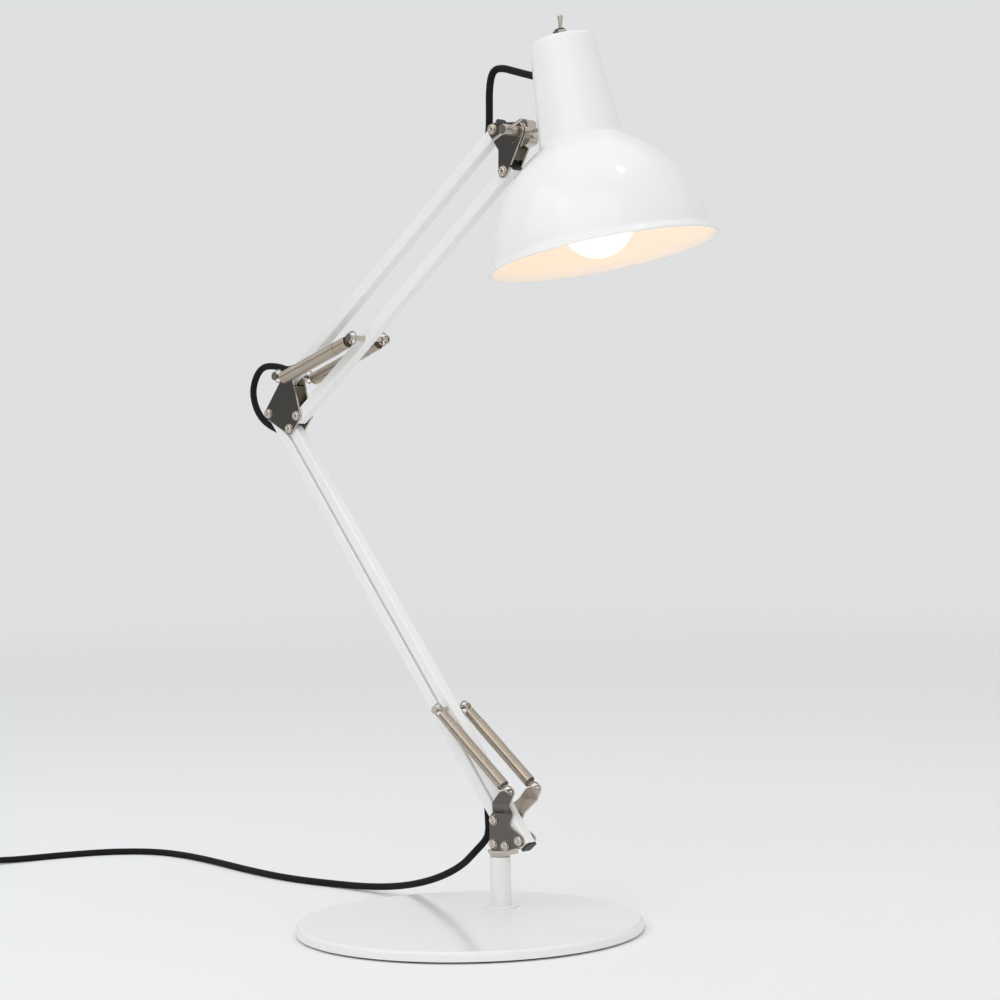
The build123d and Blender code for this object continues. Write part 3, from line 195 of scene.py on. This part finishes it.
def braid(name):
    """Textile sleeve: two families of strands that cross, laid out by the tube's own coordinates."""
    cloth = Shader(name, (0.010, 0.010, 0.011), 0.8, Specular_IOR_Level=0.25)
    split = cloth.node("ShaderNodeSeparateXYZ")
    cloth.link(cloth.place.outputs["UV"], split.inputs["Vector"])
    strands = []
    for way in (1.0, -1.0):
        turn = cloth.node("ShaderNodeMath", operation="MULTIPLY_ADD")
        turn.inputs[1].default_value = 12.0 * way
        cloth.link(split.outputs["X"], turn.inputs[0])
        run = cloth.node("ShaderNodeMath", operation="MULTIPLY")
        run.inputs[1].default_value = 0.62
        cloth.link(split.outputs["Y"], run.inputs[0])
        cloth.link(run.outputs[0], turn.inputs[2])
        angle = cloth.node("ShaderNodeMath", operation="MULTIPLY")
        angle.inputs[1].default_value = 2 * math.pi
        cloth.link(turn.outputs[0], angle.inputs[0])
        wave = cloth.node("ShaderNodeMath", operation="SINE")
        cloth.link(angle.outputs[0], wave.inputs[0])
        strands.append(wave.outputs[0])
    weave = cloth.node("ShaderNodeMath", operation="MULTIPLY")
    cloth.link(strands[0], weave.inputs[0])
    cloth.link(strands[1], weave.inputs[1])
    height = cloth.spread(weave.outputs[0], 0.0, 1.0, (-1.0, 1.0))
    cloth.tint(height, (0.002, 0.002, 0.0024), (0.009, 0.009, 0.010))
    cloth.bump(height, 0.00022)
    cloth.bump(cloth.noise(3800.0, 3.0), 0.00006)
    return cloth.material


def opal():
    """Lit opal bulb: warm and nearly even."""
    glass = Shader("opal_glass", (0.93, 0.91, 0.86), 0.25)
    glow = glass.spread(glass.noise(30.0, 2.0), 0.97, 1.03)
    glass.rough(glass.spread(glass.noise(200.0, 2.0), 0.2, 0.3))
    glass.main.inputs["Emission Color"].default_value = (1.0, 0.575, 0.215, 1)
    strength = glass.node("ShaderNodeMath", operation="MULTIPLY")
    strength.inputs[1].default_value = 2.9
    glass.link(glow, strength.inputs[0])
    glass.link(strength.outputs[0], glass.main.inputs["Emission Strength"])
    return glass.material


WHITE = enamel("white_enamel", (0.87, 0.87, 0.86), (0.85, 0.85, 0.84))
NICKEL = nickel("polished_nickel", (0.60, 0.55, 0.485), (0.54, 0.49, 0.43), (0.07, 0.14))
# Painted light: the near plates take dark copies of the plated nickel and the far plates a light copy, as
# painted reflections of the sides they face.
BRACKET_NICKEL_PAINTED_DARK = sheet("bracket_nickel_painted_dark", (0.11, 0.102, 0.094), (0.55, 0.51, 0.45), (0.08, 0.17))
JOINT_NICKEL_PAINTED_DARK = sheet("joint_nickel_painted_dark", (0.22, 0.21, 0.195), (0.60, 0.56, 0.50), (0.08, 0.17))
FAR_NICKEL_PAINTED_LIGHT = sheet("far_nickel_painted_light", (0.44, 0.385, 0.32), (0.60, 0.54, 0.46), (0.10, 0.2))
SPRING_STEEL = nickel("spring_nickel", (0.52, 0.45, 0.375), (0.45, 0.385, 0.315), (0.06, 0.12))
PLAIN_STEEL = nickel("plain_steel", (0.55, 0.55, 0.55), (0.46, 0.46, 0.47), (0.3, 0.45))
BLACK = plastic("black_plastic", (0.016, 0.016, 0.017), 0.42)
RUBBER = plastic("black_rubber", (0.014, 0.014, 0.014), 0.62)
PAD = plastic("pad_felt", (0.05, 0.05, 0.052), 0.9)
CORD = braid("black_braid")
OPAL = opal()

FINISHES = {
    "white_paint": WHITE,
    "nickel": NICKEL,
    "black_plastic": BLACK,
    "black_braid": CORD,
    "pad": PAD,
    "rubber": RUBBER,
    "steel": PLAIN_STEEL,
    "opal_glass": OPAL,
    "bulb_cap": PLAIN_STEEL,
}
# Plates that take the painted dark and painted light copies of the nickel.
PLATES = {
    "bracket_plate_near": BRACKET_NICKEL_PAINTED_DARK,
    "elbow_plate_near": JOINT_NICKEL_PAINTED_DARK,
    "head_plate_near": JOINT_NICKEL_PAINTED_DARK,
}
PLATES |= {f"{bracket}_plate_far": FAR_NICKEL_PAINTED_LIGHT for bracket in ("bracket", "elbow", "head")}
for entry in frame["record"]["subparts"]:
    shape = nodes[entry["node"]]
    shape.data.materials.clear()
    shape.data.materials.append(PLATES.get(entry["node"], FINISHES[entry["material_slot"]]))
    shape.data.shade_smooth()
    shape.data.set_sharp_from_angle(angle=math.radians(28))
for name in [*PLATES, "swivel_block", "tilt_block"]:
    edges = nodes[name].modifiers.new("eased_edges", "BEVEL")
    edges.width = 0.25 * MM
    edges.segments = 2
    edges.limit_method = "ANGLE"
    edges.angle_limit = math.radians(40)
    edges.harden_normals = True


# Mesh pieces


def piece(name, points, faces, material, uvs=None):
    """Smooth mesh from points in millimetres. uvs are given for each corner of each face."""
    mesh = bpy.data.meshes.new(name)
    mesh.from_pydata([Vector(p) * MM for p in points], [], faces)
    if uvs:
        layer = mesh.uv_layers.new(name="lay")
        flat = [value for corner in uvs for value in corner]
        layer.data.foreach_set("uv", flat)
    mesh.materials.append(material)
    mesh.shade_smooth()
    mesh.set_sharp_from_angle(angle=math.radians(35))
    made = bpy.data.objects.new(name, mesh)
    bpy.context.scene.collection.objects.link(made)
    return made


def turned(name, profile, foot, along, material, segments):
    """Closed profile turned round an axis. profile holds (radius, height) in millimetres."""
    side = along.orthogonal().normalized()
    other = along.cross(side)
    points = []
    faces = []
    count = len(profile)
    for k in range(segments):
        angle = 2 * math.pi * k / segments
        out = side * math.cos(angle) + other * math.sin(angle)
        points += [foot + out * radius + along * height for radius, height in profile]
    for k in range(segments):
        here, there = k * count, (k + 1) % segments * count
        for i in range(count):
            j = (i + 1) % count
            faces.append((here + i, there + i, there + j, here + j))
    return piece(name, points, faces, material)


def frames_along(path):
    """Unit tangents and steady side vectors along a path."""
    ways = []
    for i in range(len(path)):
        way = path[min(i + 1, len(path) - 1)] - path[max(i - 1, 0)]
        ways.append(way.normalized())
    side = ways[0].orthogonal().normalized()
    sides = [side]
    for before, here in zip(ways, ways[1:]):
        side = before.rotation_difference(here) @ side
        side = (side - here * side.dot(here)).normalized()
        sides.append(side)
    return ways, sides


def tube(name, path, radius, material, sides, outward=None, squash=1.0):
    """Tube along a path in millimetres. squash flattens it along outward."""
    ways, across = frames_along(path)
    across = outward or across
    points = []
    faces = []
    uvs = []
    run = 0.0
    runs = []
    for i, point in enumerate(path):
        if i:
            run += (path[i] - path[i - 1]).length
        runs.append(run)
        other = ways[i].cross(across[i])
        for k in range(sides):
            angle = 2 * math.pi * k / sides
            points.append(point + (across[i] * math.cos(angle) * squash + other * math.sin(angle)) * radius)
    for i in range(len(path) - 1):
        for k in range(sides):
            j = (k + 1) % sides
            faces.append((i * sides + k, i * sides + j, (i + 1) * sides + j, (i + 1) * sides + k))
            low, high = k / sides, (k + 1) / sides
            uvs += [(low, runs[i]), (high, runs[i]), (high, runs[i + 1]), (low, runs[i + 1])]
    faces.append(tuple(reversed(range(sides))))
    uvs += [(0.5, 0.0)] * sides
    last = (len(path) - 1) * sides
    faces.append(tuple(range(last, last + sides)))
    uvs += [(0.5, run)] * sides
    return piece(name, points, faces, material, uvs)


def smooth_line(points, resolution=8):
    """Points read from a smooth spline that has the given control points."""
    curve = bpy.data.curves.new("route", "CURVE")
    curve.dimensions = "3D"
    spline = curve.splines.new("NURBS")
    spline.points.add(len(points) - 1)
    for control, point in zip(spline.points, points):
        control.co = (*point, 1)
    spline.order_u = 3
    spline.use_endpoint_u = True
    spline.resolution_u = resolution
    holder = bpy.data.objects.new("route", curve)
    bpy.context.scene.collection.objects.link(holder)
    bpy.context.view_layer.update()
    mesh = bpy.data.meshes.new_from_object(holder.evaluated_get(bpy.context.evaluated_depsgraph_get()))
    line = [vertex.co.copy() for vertex in mesh.vertices]
    bpy.data.objects.remove(holder)
    bpy.data.meshes.remove(mesh)
    return line


# Cord

CORD_RADIUS = 2.6
FLOOR_CORD = CORD_RADIUS + 0.05  # height of the cord's middle where it lies
LOOP_END = 36  # from a pivot to a loop's end inside the bar
LOOP_BEND = 20  # from a pivot to where a loop leaves the bar's axis
SLEEVE_END = 36.3  # from a pivot to the end of the run inside the bar


def stepped(pivot, *moves):
    """Points of the arm's middle plane, as steps from a pivot."""
    return [pivot + Vector((x, 0, z)) for x, z in moves]


FOOT_BEND = Vector((-12.6, 0, 55.6))
FOOT_END = Vector((-19.4, 0, 50.0))
foot_line = smooth_line(
    [REAR_PIVOT + LOWER_WAY * LOOP_END, REAR_PIVOT + LOWER_WAY * LOOP_BEND]
    + [Vector((-11.4, 0, 71.0)), Vector((-10.9, 0, 63.5)), FOOT_BEND, FOOT_END]
)
elbow_line = smooth_line(
    [ELBOW_REAR - LOWER_WAY * LOOP_END, ELBOW_REAR - LOWER_WAY * LOOP_BEND]
    + stepped(
        ELBOW_REAR, (-10.8, -7.9), (-23.8, 5.1), (-27.3, 22.1), (-15.8, 38.1), (5.2, 37.1), (19.2, 32.6)
    )
    + [UPPER_REAR + UPPER_WAY * LOOP_BEND, UPPER_REAR + UPPER_WAY * LOOP_END]
)
NECK_FOOT = (29.5, 79.2)  # radius and height
NECK_TOP = (22.3, 152.3)
NECK_SLOPE = (NECK_FOOT[0] - NECK_TOP[0]) / (NECK_TOP[1] - NECK_FOOT[1])
INLET_HEIGHT = 133.2
INLET_DIP = math.radians(10.6)
INLET = SHADE_FOOT + RISE * INLET_HEIGHT - STEM * (NECK_FOOT[0] - (INLET_HEIGHT - NECK_FOOT[1]) * NECK_SLOPE)
INLET_WAY = Vector((math.cos(INLET_DIP), 0, -math.sin(INLET_DIP)))
head_line = smooth_line(
    [HEAD_REAR - UPPER_WAY * LOOP_END, HEAD_REAR - UPPER_WAY * LOOP_BEND]
    + stepped(
        HEAD_REAR, (-9.8, -4.2), (-8.8, 12.8), (-8.6, 29.8), (-5.4, 42.3), (3.6, 43.8), (17.6, 39.1)
    )
    + [INLET - INLET_WAY * 5.0, INLET + INLET_WAY * 5.0]
)


def nearest(line, x, z):
    """Index of the point of a line nearest to a place in the arm's plane."""
    return min(range(len(line)), key=lambda i: (line[i] - Vector((x, line[i].y, z))).length)


def crossing(name, line, first, second, start, end, *hidden):
    """Stretch of cord along a line, made as one tube; first, second, start and end are not used."""
    made = tube(name, line, CORD_RADIUS, CORD, 16)
    if hidden:
        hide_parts(*hidden)
    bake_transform(made)


crossing("cord_at_foot", foot_line, "lower_bar_rear", "swivel_bracket", (-11.5, 83), (-11.5, 60),
         "cord_foot_bend")
top = nearest(elbow_line, -266, 390)
crossing("cord_elbow_rising", elbow_line[: top + 1], "lower_bar_rear", "elbow", (-250, 359), (-266, 388),
         "cord_elbow_loop")
crossing("cord_elbow_falling", elbow_line[top:], "elbow", "upper_bar_rear", (-258, 402), (-224, 402))
up, over = nearest(head_line, 3.6, 577), nearest(head_line, 40, 597)
crossing("cord_head_rising", head_line[: up + 1], "upper_bar_rear", "head_bracket", (-1.0, 556), (3.4, 576),
         "cord_head_loop")
crossing("cord_head_over", head_line[up : over + 1], "head_bracket", "head_block", (3.8, 579), (39, 597))
crossing("cord_head_falling", head_line[over:], "head_block", "shade", (41, 596.5), (54, 592))
runs = (
    ("cord_lower_run", "lower_bar_rear", REAR_PIVOT, LOWER_WAY, LOWER_LENGTH),
    ("cord_upper_run", "upper_bar_rear", UPPER_REAR, UPPER_WAY, UPPER_LENGTH),
)
for name, body, pivot, way, length in runs:
    ends = [pivot + way * SLEEVE_END, pivot + way * (length - SLEEVE_END)]
    inner = tube(f"{name}_sleeve", ends, CORD_RADIUS, CORD, 12)
    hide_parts(name)
    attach(inner, body)

# Free cord: down to the surface, away to the side, and wound up with its tie and plug
COIL_CENTRE = Vector((-553.0, -122.0, 0))
COIL_TURNS = 6.0
COIL_RADIUS = 38.0
COIL_STEP = 5.8  # from turn to turn, sideways and up
COIL_LIFT = 1.0  # room for the tie under the coil
COIL_CLIMB = 0.5  # turns in which it rises to its second layer
POINTS_PER_TURN = 16
foot_way = (FOOT_END - FOOT_BEND).normalized()


def coil_place(turns):
    """Place on the coil after some turns: in along the floor, and back out on top."""
    climb = min(max((turns - COIL_TURNS / 2) / COIL_CLIMB + 0.5, 0.0), 1.0)
    radius = COIL_RADIUS - COIL_STEP * min(turns, COIL_TURNS - turns)
    angle = -2 * math.pi * turns
    height = FLOOR_CORD + COIL_LIFT + COIL_STEP * climb * climb * (3 - 2 * climb)
    return COIL_CENTRE + Vector((radius * math.cos(angle), radius * math.sin(angle), height))


coil = [coil_place(index / POINTS_PER_TURN) for index in range(int(COIL_TURNS * POINTS_PER_TURN) + 1)]
coil_way = (coil_place(0.001) - coil_place(-0.001)).normalized()
coil_gate = coil[0] - coil_way * 5.4
plug_face = Vector((coil[-1].x + 2.0, coil[-1].y - 46.0, 7.0))
mains_controls = [
    FOOT_END + foot_way * 0.3,
    FOOT_END + foot_way * 10.0,
    Vector((-43.0, 3.0, 32.6)),
    Vector((-73.0, 7.0, 20.0)),
    Vector((-114.0, 13.0, 9.6)),
    Vector((-160.0, 17.5, 3.6)),
    Vector((-204.0, 14.0, FLOOR_CORD)),
    Vector((-246.0, 10.0, FLOOR_CORD)),
    Vector((-299.0, 16.0, FLOOR_CORD)),
    Vector((-361.0, 28.5, FLOOR_CORD)),
    Vector((-412.0, 36.0, FLOOR_CORD)),
    Vector((-452.0, 33.0, FLOOR_CORD)),
    Vector((-482.0, 10.0, FLOOR_CORD)),
    Vector((-499.0, -28.0, FLOOR_CORD)),
    Vector((-509.0, -72.0, FLOOR_CORD + 0.2)),
    coil_gate - coil_way * 30.0,
    coil_gate,
]
mains_line = smooth_line(
    mains_controls + coil + [plug_face + Vector((0, 24, 0.6)), plug_face + Vector((0, 10, 0)), plug_face],
    10,
)
mains = tube("cord_free", mains_line, CORD_RADIUS, CORD, 16)
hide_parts("mains_cord", "cord_coil")
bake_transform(mains)
length = sum((b - a).length for a, b in zip(mains_line, mains_line[1:]))

# Springs: each in two halves, one on each end's body, that slide along each other as the spring stretches

COIL_RINGS = 14  # points in a turn
EYE_STEPS = 18
EYE_SWEEP = 285  # degrees of an eye that are bent
TOP_INSET = 0.28  # how much smaller the top half's radius is
FOOT_SHARE = 0.83  # share of the coil that the foot half covers
TOP_START = 0.45  # share of the coil at which the top half starts
EYE_WIRE = 0.87  # an eye's wire against the coil's
FLATTENED = 0.42  # thickness of the coil's wire against its width


def spring(name, foot, top, foot_side, top_side, sag, radius, wire, pitch, bodies, node):
    """Close-wound coil between two eyes. sag is how far its axis hangs off each eye."""
    along = (top - foot).normalized()
    across = along.cross(foot_side)
    length = (top - foot).length
    lead = radius + wire
    coil_length = length - 2 * lead
    turn_to_top = math.atan2(top_side.dot(across), top_side.dot(foot_side))
    turns = round(coil_length / pitch)
    sweep = 2 * math.pi * turns + turn_to_top
    rings = turns * COIL_RINGS
    coil_points = []
    core_points = []
    outs = []
    for i in range(rings + 1):
        angle = sweep * i / rings
        out = foot_side * math.cos(angle) + across * math.sin(angle)
        axis = foot + along * (lead + coil_length * i / rings) + sag[0] + (sag[1] - sag[0]) * (i / rings)
        coil_points.append(axis + out * radius)
        core_points.append(axis + out * (radius - TOP_INSET))
        outs.append(out)
    foot_eye = []
    top_eye = []
    for i in range(EYE_STEPS + 1):
        angle = math.radians(EYE_SWEEP - EYE_SWEEP * i / EYE_STEPS)
        foot_eye.append(foot + (foot_side * math.cos(angle) - along * math.sin(angle)) * radius)
        angle = math.radians(EYE_SWEEP * i / EYE_STEPS)
        top_eye.append(top + (top_side * math.cos(angle) + along * math.sin(angle)) * radius)
    half_lead = along * lead * 0.5
    foot_lead = [foot_eye[-1], foot_eye[-1] + half_lead, coil_points[0] - along * wire, coil_points[0]]
    foot_lead = smooth_line(foot_lead, 4)[1:-1]
    top_lead = [core_points[-1], core_points[-1] + along * wire, top_eye[0] - half_lead, top_eye[0]]
    top_lead = smooth_line(top_lead, 4)[1:-1]
    reach, inside = int(rings * FOOT_SHARE), int(rings * TOP_START)
    parts = (
        (f"{name}_foot_eye", foot_eye + foot_lead + coil_points[:3], None, 0),
        (f"{name}_foot", coil_points[:reach], outs[:reach], 0),
        (f"{name}_top", core_points[inside:], outs[inside:], 1),
        (f"{name}_top_eye", core_points[-3:] + top_lead + top_eye, None, 1),
    )
    made = []
    for part, path, outward, end in parts:
        share, squash = (1.0, FLATTENED) if outward else (EYE_WIRE, 1.0)
        made.append(tube(part, path, wire / 2 * share, SPRING_STEEL, 10, outward, squash))
        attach(made[-1], bodies[end])
    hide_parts(node)


AWAY = Vector((0, 1, 0))
tab = Vector((25.8, 0, 92.6))
lower_top = FRONT_PIVOT + LOWER_WAY * 115.0
upper_top = UPPER_FRONT + UPPER_WAY * 95.0
lower_pull = (lower_top - tab).normalized()
lower_up = lower_pull.cross(AWAY)
upper_up = (upper_top - UPPER_REAR).normalized().cross(AWAY)
for name, way in (("near", -1.0), ("far", 1.0)):
    out = AWAY * way * 13.4
    spring(f"lower_coil_{name}", tab + lower_pull * 3.4 + out, lower_top + out, AWAY * way, lower_up,
           (lower_up * 1.2, Vector()), 4.15, 1.26, 1.3, ("lower_springs", "lower_spring_pin"),
           f"lower_spring_{name}")
    out = AWAY * way * 15.5
    spring(f"upper_coil_{name}", UPPER_REAR + out, upper_top + out, upper_up, upper_up,
           (upper_up * -3.2, upper_up * -1.0), 4.75, 1.2, 1.24, ("upper_springs", "upper_spring_pin"),
           f"upper_spring_{name}")

# Shade: spun bell with its rounded rim, turned fine

WALL = 1.2
NECK_RINGS = (95.0, 110.0, 125.0, 140.0)


def arc_through(first, middle, last, count):
    """Points on the circle through three points, without the first."""
    (ax, ay), (bx, by), (cx, cy) = first, middle, last
    d = 2 * (ax * (by - cy) + bx * (cy - ay) + cx * (ay - by))
    ux = ((ax**2 + ay**2) * (by - cy) + (bx**2 + by**2) * (cy - ay) + (cx**2 + cy**2) * (ay - by)) / d
    uy = ((ax**2 + ay**2) * (cx - bx) + (bx**2 + by**2) * (ax - cx) + (cx**2 + cy**2) * (bx - ax)) / d
    start = math.atan2(ay - uy, ax - ux)
    end = math.atan2(cy - uy, cx - ux)
    radius = math.hypot(ax - ux, ay - uy)
    angles = [start + (end - start) * i / count for i in range(1, count + 1)]
    return [(ux + radius * math.cos(angle), uy + radius * math.sin(angle)) for angle in angles]


def soften(before, corner, after, count=6):
    """Rounds a corner of the shade's profile."""
    ways = list(zip(before, corner, after))
    steps = [i / count for i in range(count + 1)]
    return [tuple((1 - s) ** 2 * a + 2 * s * (1 - s) * b + s * s * c for a, b, c in ways) for s in steps]


def neck(height):
    """Point of the tapered neck at a height."""
    return (NECK_FOOT[0] - (height - NECK_FOOT[1]) * NECK_SLOPE, height)


bell = arc_through((77.2, 6.0), (62.9, 46.8), NECK_FOOT, 48)
bell = bell[:-3] + soften(bell[-3], NECK_FOOT, neck(83.5))
rim = [(79.9, 0.0), (80.5, 0.1), (80.85, 0.55), (80.75, 1.0), (79.7, 2.4), (78.4, 4.2), (77.2, 6.0)]
crown = [(10.0, 155.3), (7.0, 155.3), (3.55, 155.3)]
outer = rim + bell + [neck(h) for h in NECK_RINGS] + soften(neck(149.8), NECK_TOP, (20.2, 152.8)) + crown
inner = [(r - WALL, h - 0.6 if h > 79 else h) for r, h in bell]
inner += [(neck(h)[0] - WALL, h) for h in (*NECK_RINGS, 150.6)] + [(r, h - WALL) for r, h in crown]
lip = [(79.5, 0.02), (78.9, 0.15), (78.3, 0.5), (77.8, 1.2), (77.1, 2.8), (76.5, 4.4), (76.0, 6.0)]
shade = turned("shade_bell", outer + inner[::-1] + lip[::-1], SHADE_FOOT, RISE, WHITE, 192)
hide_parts("shade")
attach(shade, "shade")

# Rivets: domed heads with a dimple, over the ends of the pins


PLATE_FACE = 6.4  # from the arm's middle plane to a plate's outer face
RIVET = [(3.75, 0.0), (3.75, 0.35), (3.4, 0.5), (3.4, 1.1), (3.1, 1.75)]
RIVET += [(2.5, 2.2), (1.8, 2.3), (1.25, 2.1), (0.9, 1.75), (0.0, 1.65)]


def rivet_heads(name, body, pivots):
    """Heads on both sides of a bracket, at points of the arm's plane."""
    count, segments = len(RIVET), 32
    points = []
    faces = []
    for pivot in pivots:
        for way in (-1.0, 1.0):
            first = len(points)
            for k in range(segments):
                angle = way * 2 * math.pi * k / segments
                out = Vector((math.cos(angle), 0, math.sin(angle)))
                for radius, height in RIVET:
                    points.append(pivot + out * radius + Vector((0, way * (PLATE_FACE + height), 0)))
            for k in range(segments):
                here, there = first + k * count, first + (k + 1) % segments * count
                faces += [(here + i, here + i + 1, there + i + 1, there + i) for i in range(count - 1)]
    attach(piece(name, points, faces, NICKEL), body)


rivet_heads("rivets_bracket", "swivel_bracket",
            (REAR_PIVOT, FRONT_PIVOT, Vector((0.0, 0, 53.6)), Vector((11.7, 0, 53.2))))
rivet_heads("rivets_elbow", "elbow", (ELBOW_REAR, ELBOW_FRONT, UPPER_FRONT))
rivet_heads("rivets_head", "head_bracket", (HEAD_REAR, HEAD_FRONT))

# Switch lever: thin at its bush and full at its tip
lever_way = Quaternion(ACROSS, math.radians(14.0)) @ RISE
handle = [(1.25, 1.0), (1.3, 4.6), (1.55, 7.4), (1.9, 10.2), (2.0, 11.4)]
handle += [(1.75, 12.3), (1.1, 12.8), (0.01, 12.9), (0.01, 1.0)]
lever = turned("toggle", handle, SHADE_FOOT + RISE * 157.0, lever_way, NICKEL, 32)
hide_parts("switch_lever")
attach(lever, "switch_lever")

# Camera at the photograph's place and angle
camera = bpy.data.objects.new("camera", bpy.data.cameras.new("camera"))
bpy.context.scene.collection.objects.link(camera)
camera.data.sensor_width = 36.0
camera.data.lens = 36.0 * 2.381
camera.data.clip_end = 50.0
lean = math.radians(1.108)
forward = Vector((-1, 1, 0)).normalized()
right = Vector((1, 1, 0)).normalized()
tilted_right = right * math.cos(lean) - Vector((0, 0, 1)) * math.sin(lean)
tilted_up = Vector((0, 0, 1)) * math.cos(lean) + right * math.sin(lean)
turn = Matrix((tilted_right, tilted_up, -forward)).transposed().to_4x4()
camera.matrix_world = Matrix.Translation(mm(1203.3, -1196.6, 297.9)) @ turn
bpy.context.scene.camera = camera

# Floor and backdrop: one pale sweep, lit near the lamp and even in the distance
FLOOR_REACH = 16.0
BEND_START = 3.6
BEND_RADIUS = 1.4
sweep_profile = [(-FLOOR_REACH, 0.0), (BEND_START, 0.0)]
for k in range(1, 17):
    angle = math.radians(90 * k / 16)
    sweep_profile.append(
        (BEND_START + BEND_RADIUS * math.sin(angle), BEND_RADIUS - BEND_RADIUS * math.cos(angle))
    )
sweep_profile.append((BEND_START + BEND_RADIUS, 7.0))
points = []
for aside in (-FLOOR_REACH, FLOOR_REACH):
    points += [forward * along + right * aside + Vector((0, 0, height)) for along, height in sweep_profile]
count = len(sweep_profile)
faces = [(i, i + count, i + count + 1, i + 1) for i in range(count - 1)]
backdrop_mesh = bpy.data.meshes.new("backdrop")
backdrop_mesh.from_pydata(points, [], faces)
backdrop_mesh.shade_smooth()
pale = Shader("pale_floor", (0.885, 0.888, 0.89), 0.9)
distance = pale.node("ShaderNodeVectorMath", operation="LENGTH")
pale.link(pale.place.outputs["Object"], distance.inputs[0])
seen = pale.node("ShaderNodeLightPath")
rays = pale.node("ShaderNodeMath", operation="ADD", use_clamp=True)
pale.link(seen.outputs["Is Camera Ray"], rays.inputs[0])
pale.link(seen.outputs["Is Glossy Ray"], rays.inputs[1])
more_rays = pale.node("ShaderNodeMath", operation="ADD", use_clamp=True)
pale.link(rays.outputs[0], more_rays.inputs[0])
pale.link(seen.outputs["Is Transmission Ray"], more_rays.inputs[1])
share = pale.node("ShaderNodeMath", operation="MULTIPLY")
pale.link(pale.spread(distance.outputs["Value"], 0.0, 1.0, (0.8, 4.2)), share.inputs[0])
pale.link(more_rays.outputs[0], share.inputs[1])
even = pale.node("ShaderNodeEmission", Color=(0.735, 0.745, 0.755, 1), Strength=1.0)
blended = pale.node("ShaderNodeMixShader")
pale.link(share.outputs[0], blended.inputs["Fac"])
pale.link(pale.main.outputs[0], blended.inputs[1])
pale.link(even.outputs[0], blended.inputs[2])
pale.link(blended.outputs[0], pale.tree.nodes["Material Output"].inputs["Surface"])
backdrop_mesh.materials.append(pale.material)
backdrop = bpy.data.objects.new("backdrop", backdrop_mesh)
bpy.context.scene.collection.objects.link(backdrop)


def softbox(name, place, target, size, power, color=(1, 1, 1)):
    """Rectangular lamp at a place in metres, turned to a target."""
    light = bpy.data.lights.new(name, "AREA")
    light.shape = "RECTANGLE"
    light.size, light.size_y = size
    light.energy = power
    light.color = color
    lamp = bpy.data.objects.new(name, light)
    lamp.location = place
    lamp.visible_camera = False
    lamp.rotation_euler = (Vector(target) - Vector(place)).to_track_quat("-Z", "Y").to_euler()
    bpy.context.scene.collection.objects.link(lamp)


softbox("key", (1.0, -2.2, 1.9), (0, 0, 0.3), (3.2, 2.6), 22, (1.0, 0.99, 0.975))
softbox("top", (-0.2, 0.3, 3.0), (0, 0, 0), (2.6, 2.6), 10)
softbox("left", (-1.0, -2.0, 2.05), (0, 0, 0.2), (1.9, 1.6), 9)
softbox("glint", (0.70, 0.19, 2.63), (0.15, -0.03, 0.5), (0.18, 0.18), 1.0)

# World: pale, with a darker side for the metal to show
world = bpy.data.worlds.new("studio")
bpy.context.scene.world = world
world.use_nodes = True
sky = world.node_tree.nodes["Background"]
sky.inputs["Color"].default_value = (0.97, 0.985, 1.0, 1)
heading = world.node_tree.nodes.new("ShaderNodeTexCoord")
facing = world.node_tree.nodes.new("ShaderNodeVectorMath")
facing.operation = "DOT_PRODUCT"
facing.inputs[1].default_value = (-0.6, -0.8, 0.0)
shaded = world.node_tree.nodes.new("ShaderNodeMapRange")
shaded.interpolation_type = "SMOOTHSTEP"
for socket, value in (("From Min", 0.6), ("From Max", 0.93), ("To Min", 0.755), ("To Max", 0.23)):
    shaded.inputs[socket].default_value = value
world.node_tree.links.new(heading.outputs["Generated"], facing.inputs[0])
world.node_tree.links.new(facing.outputs["Value"], shaded.inputs["Value"])
world.node_tree.links.new(shaded.outputs["Result"], sky.inputs["Strength"])
bpy.context.scene.view_settings.view_transform = "Standard"
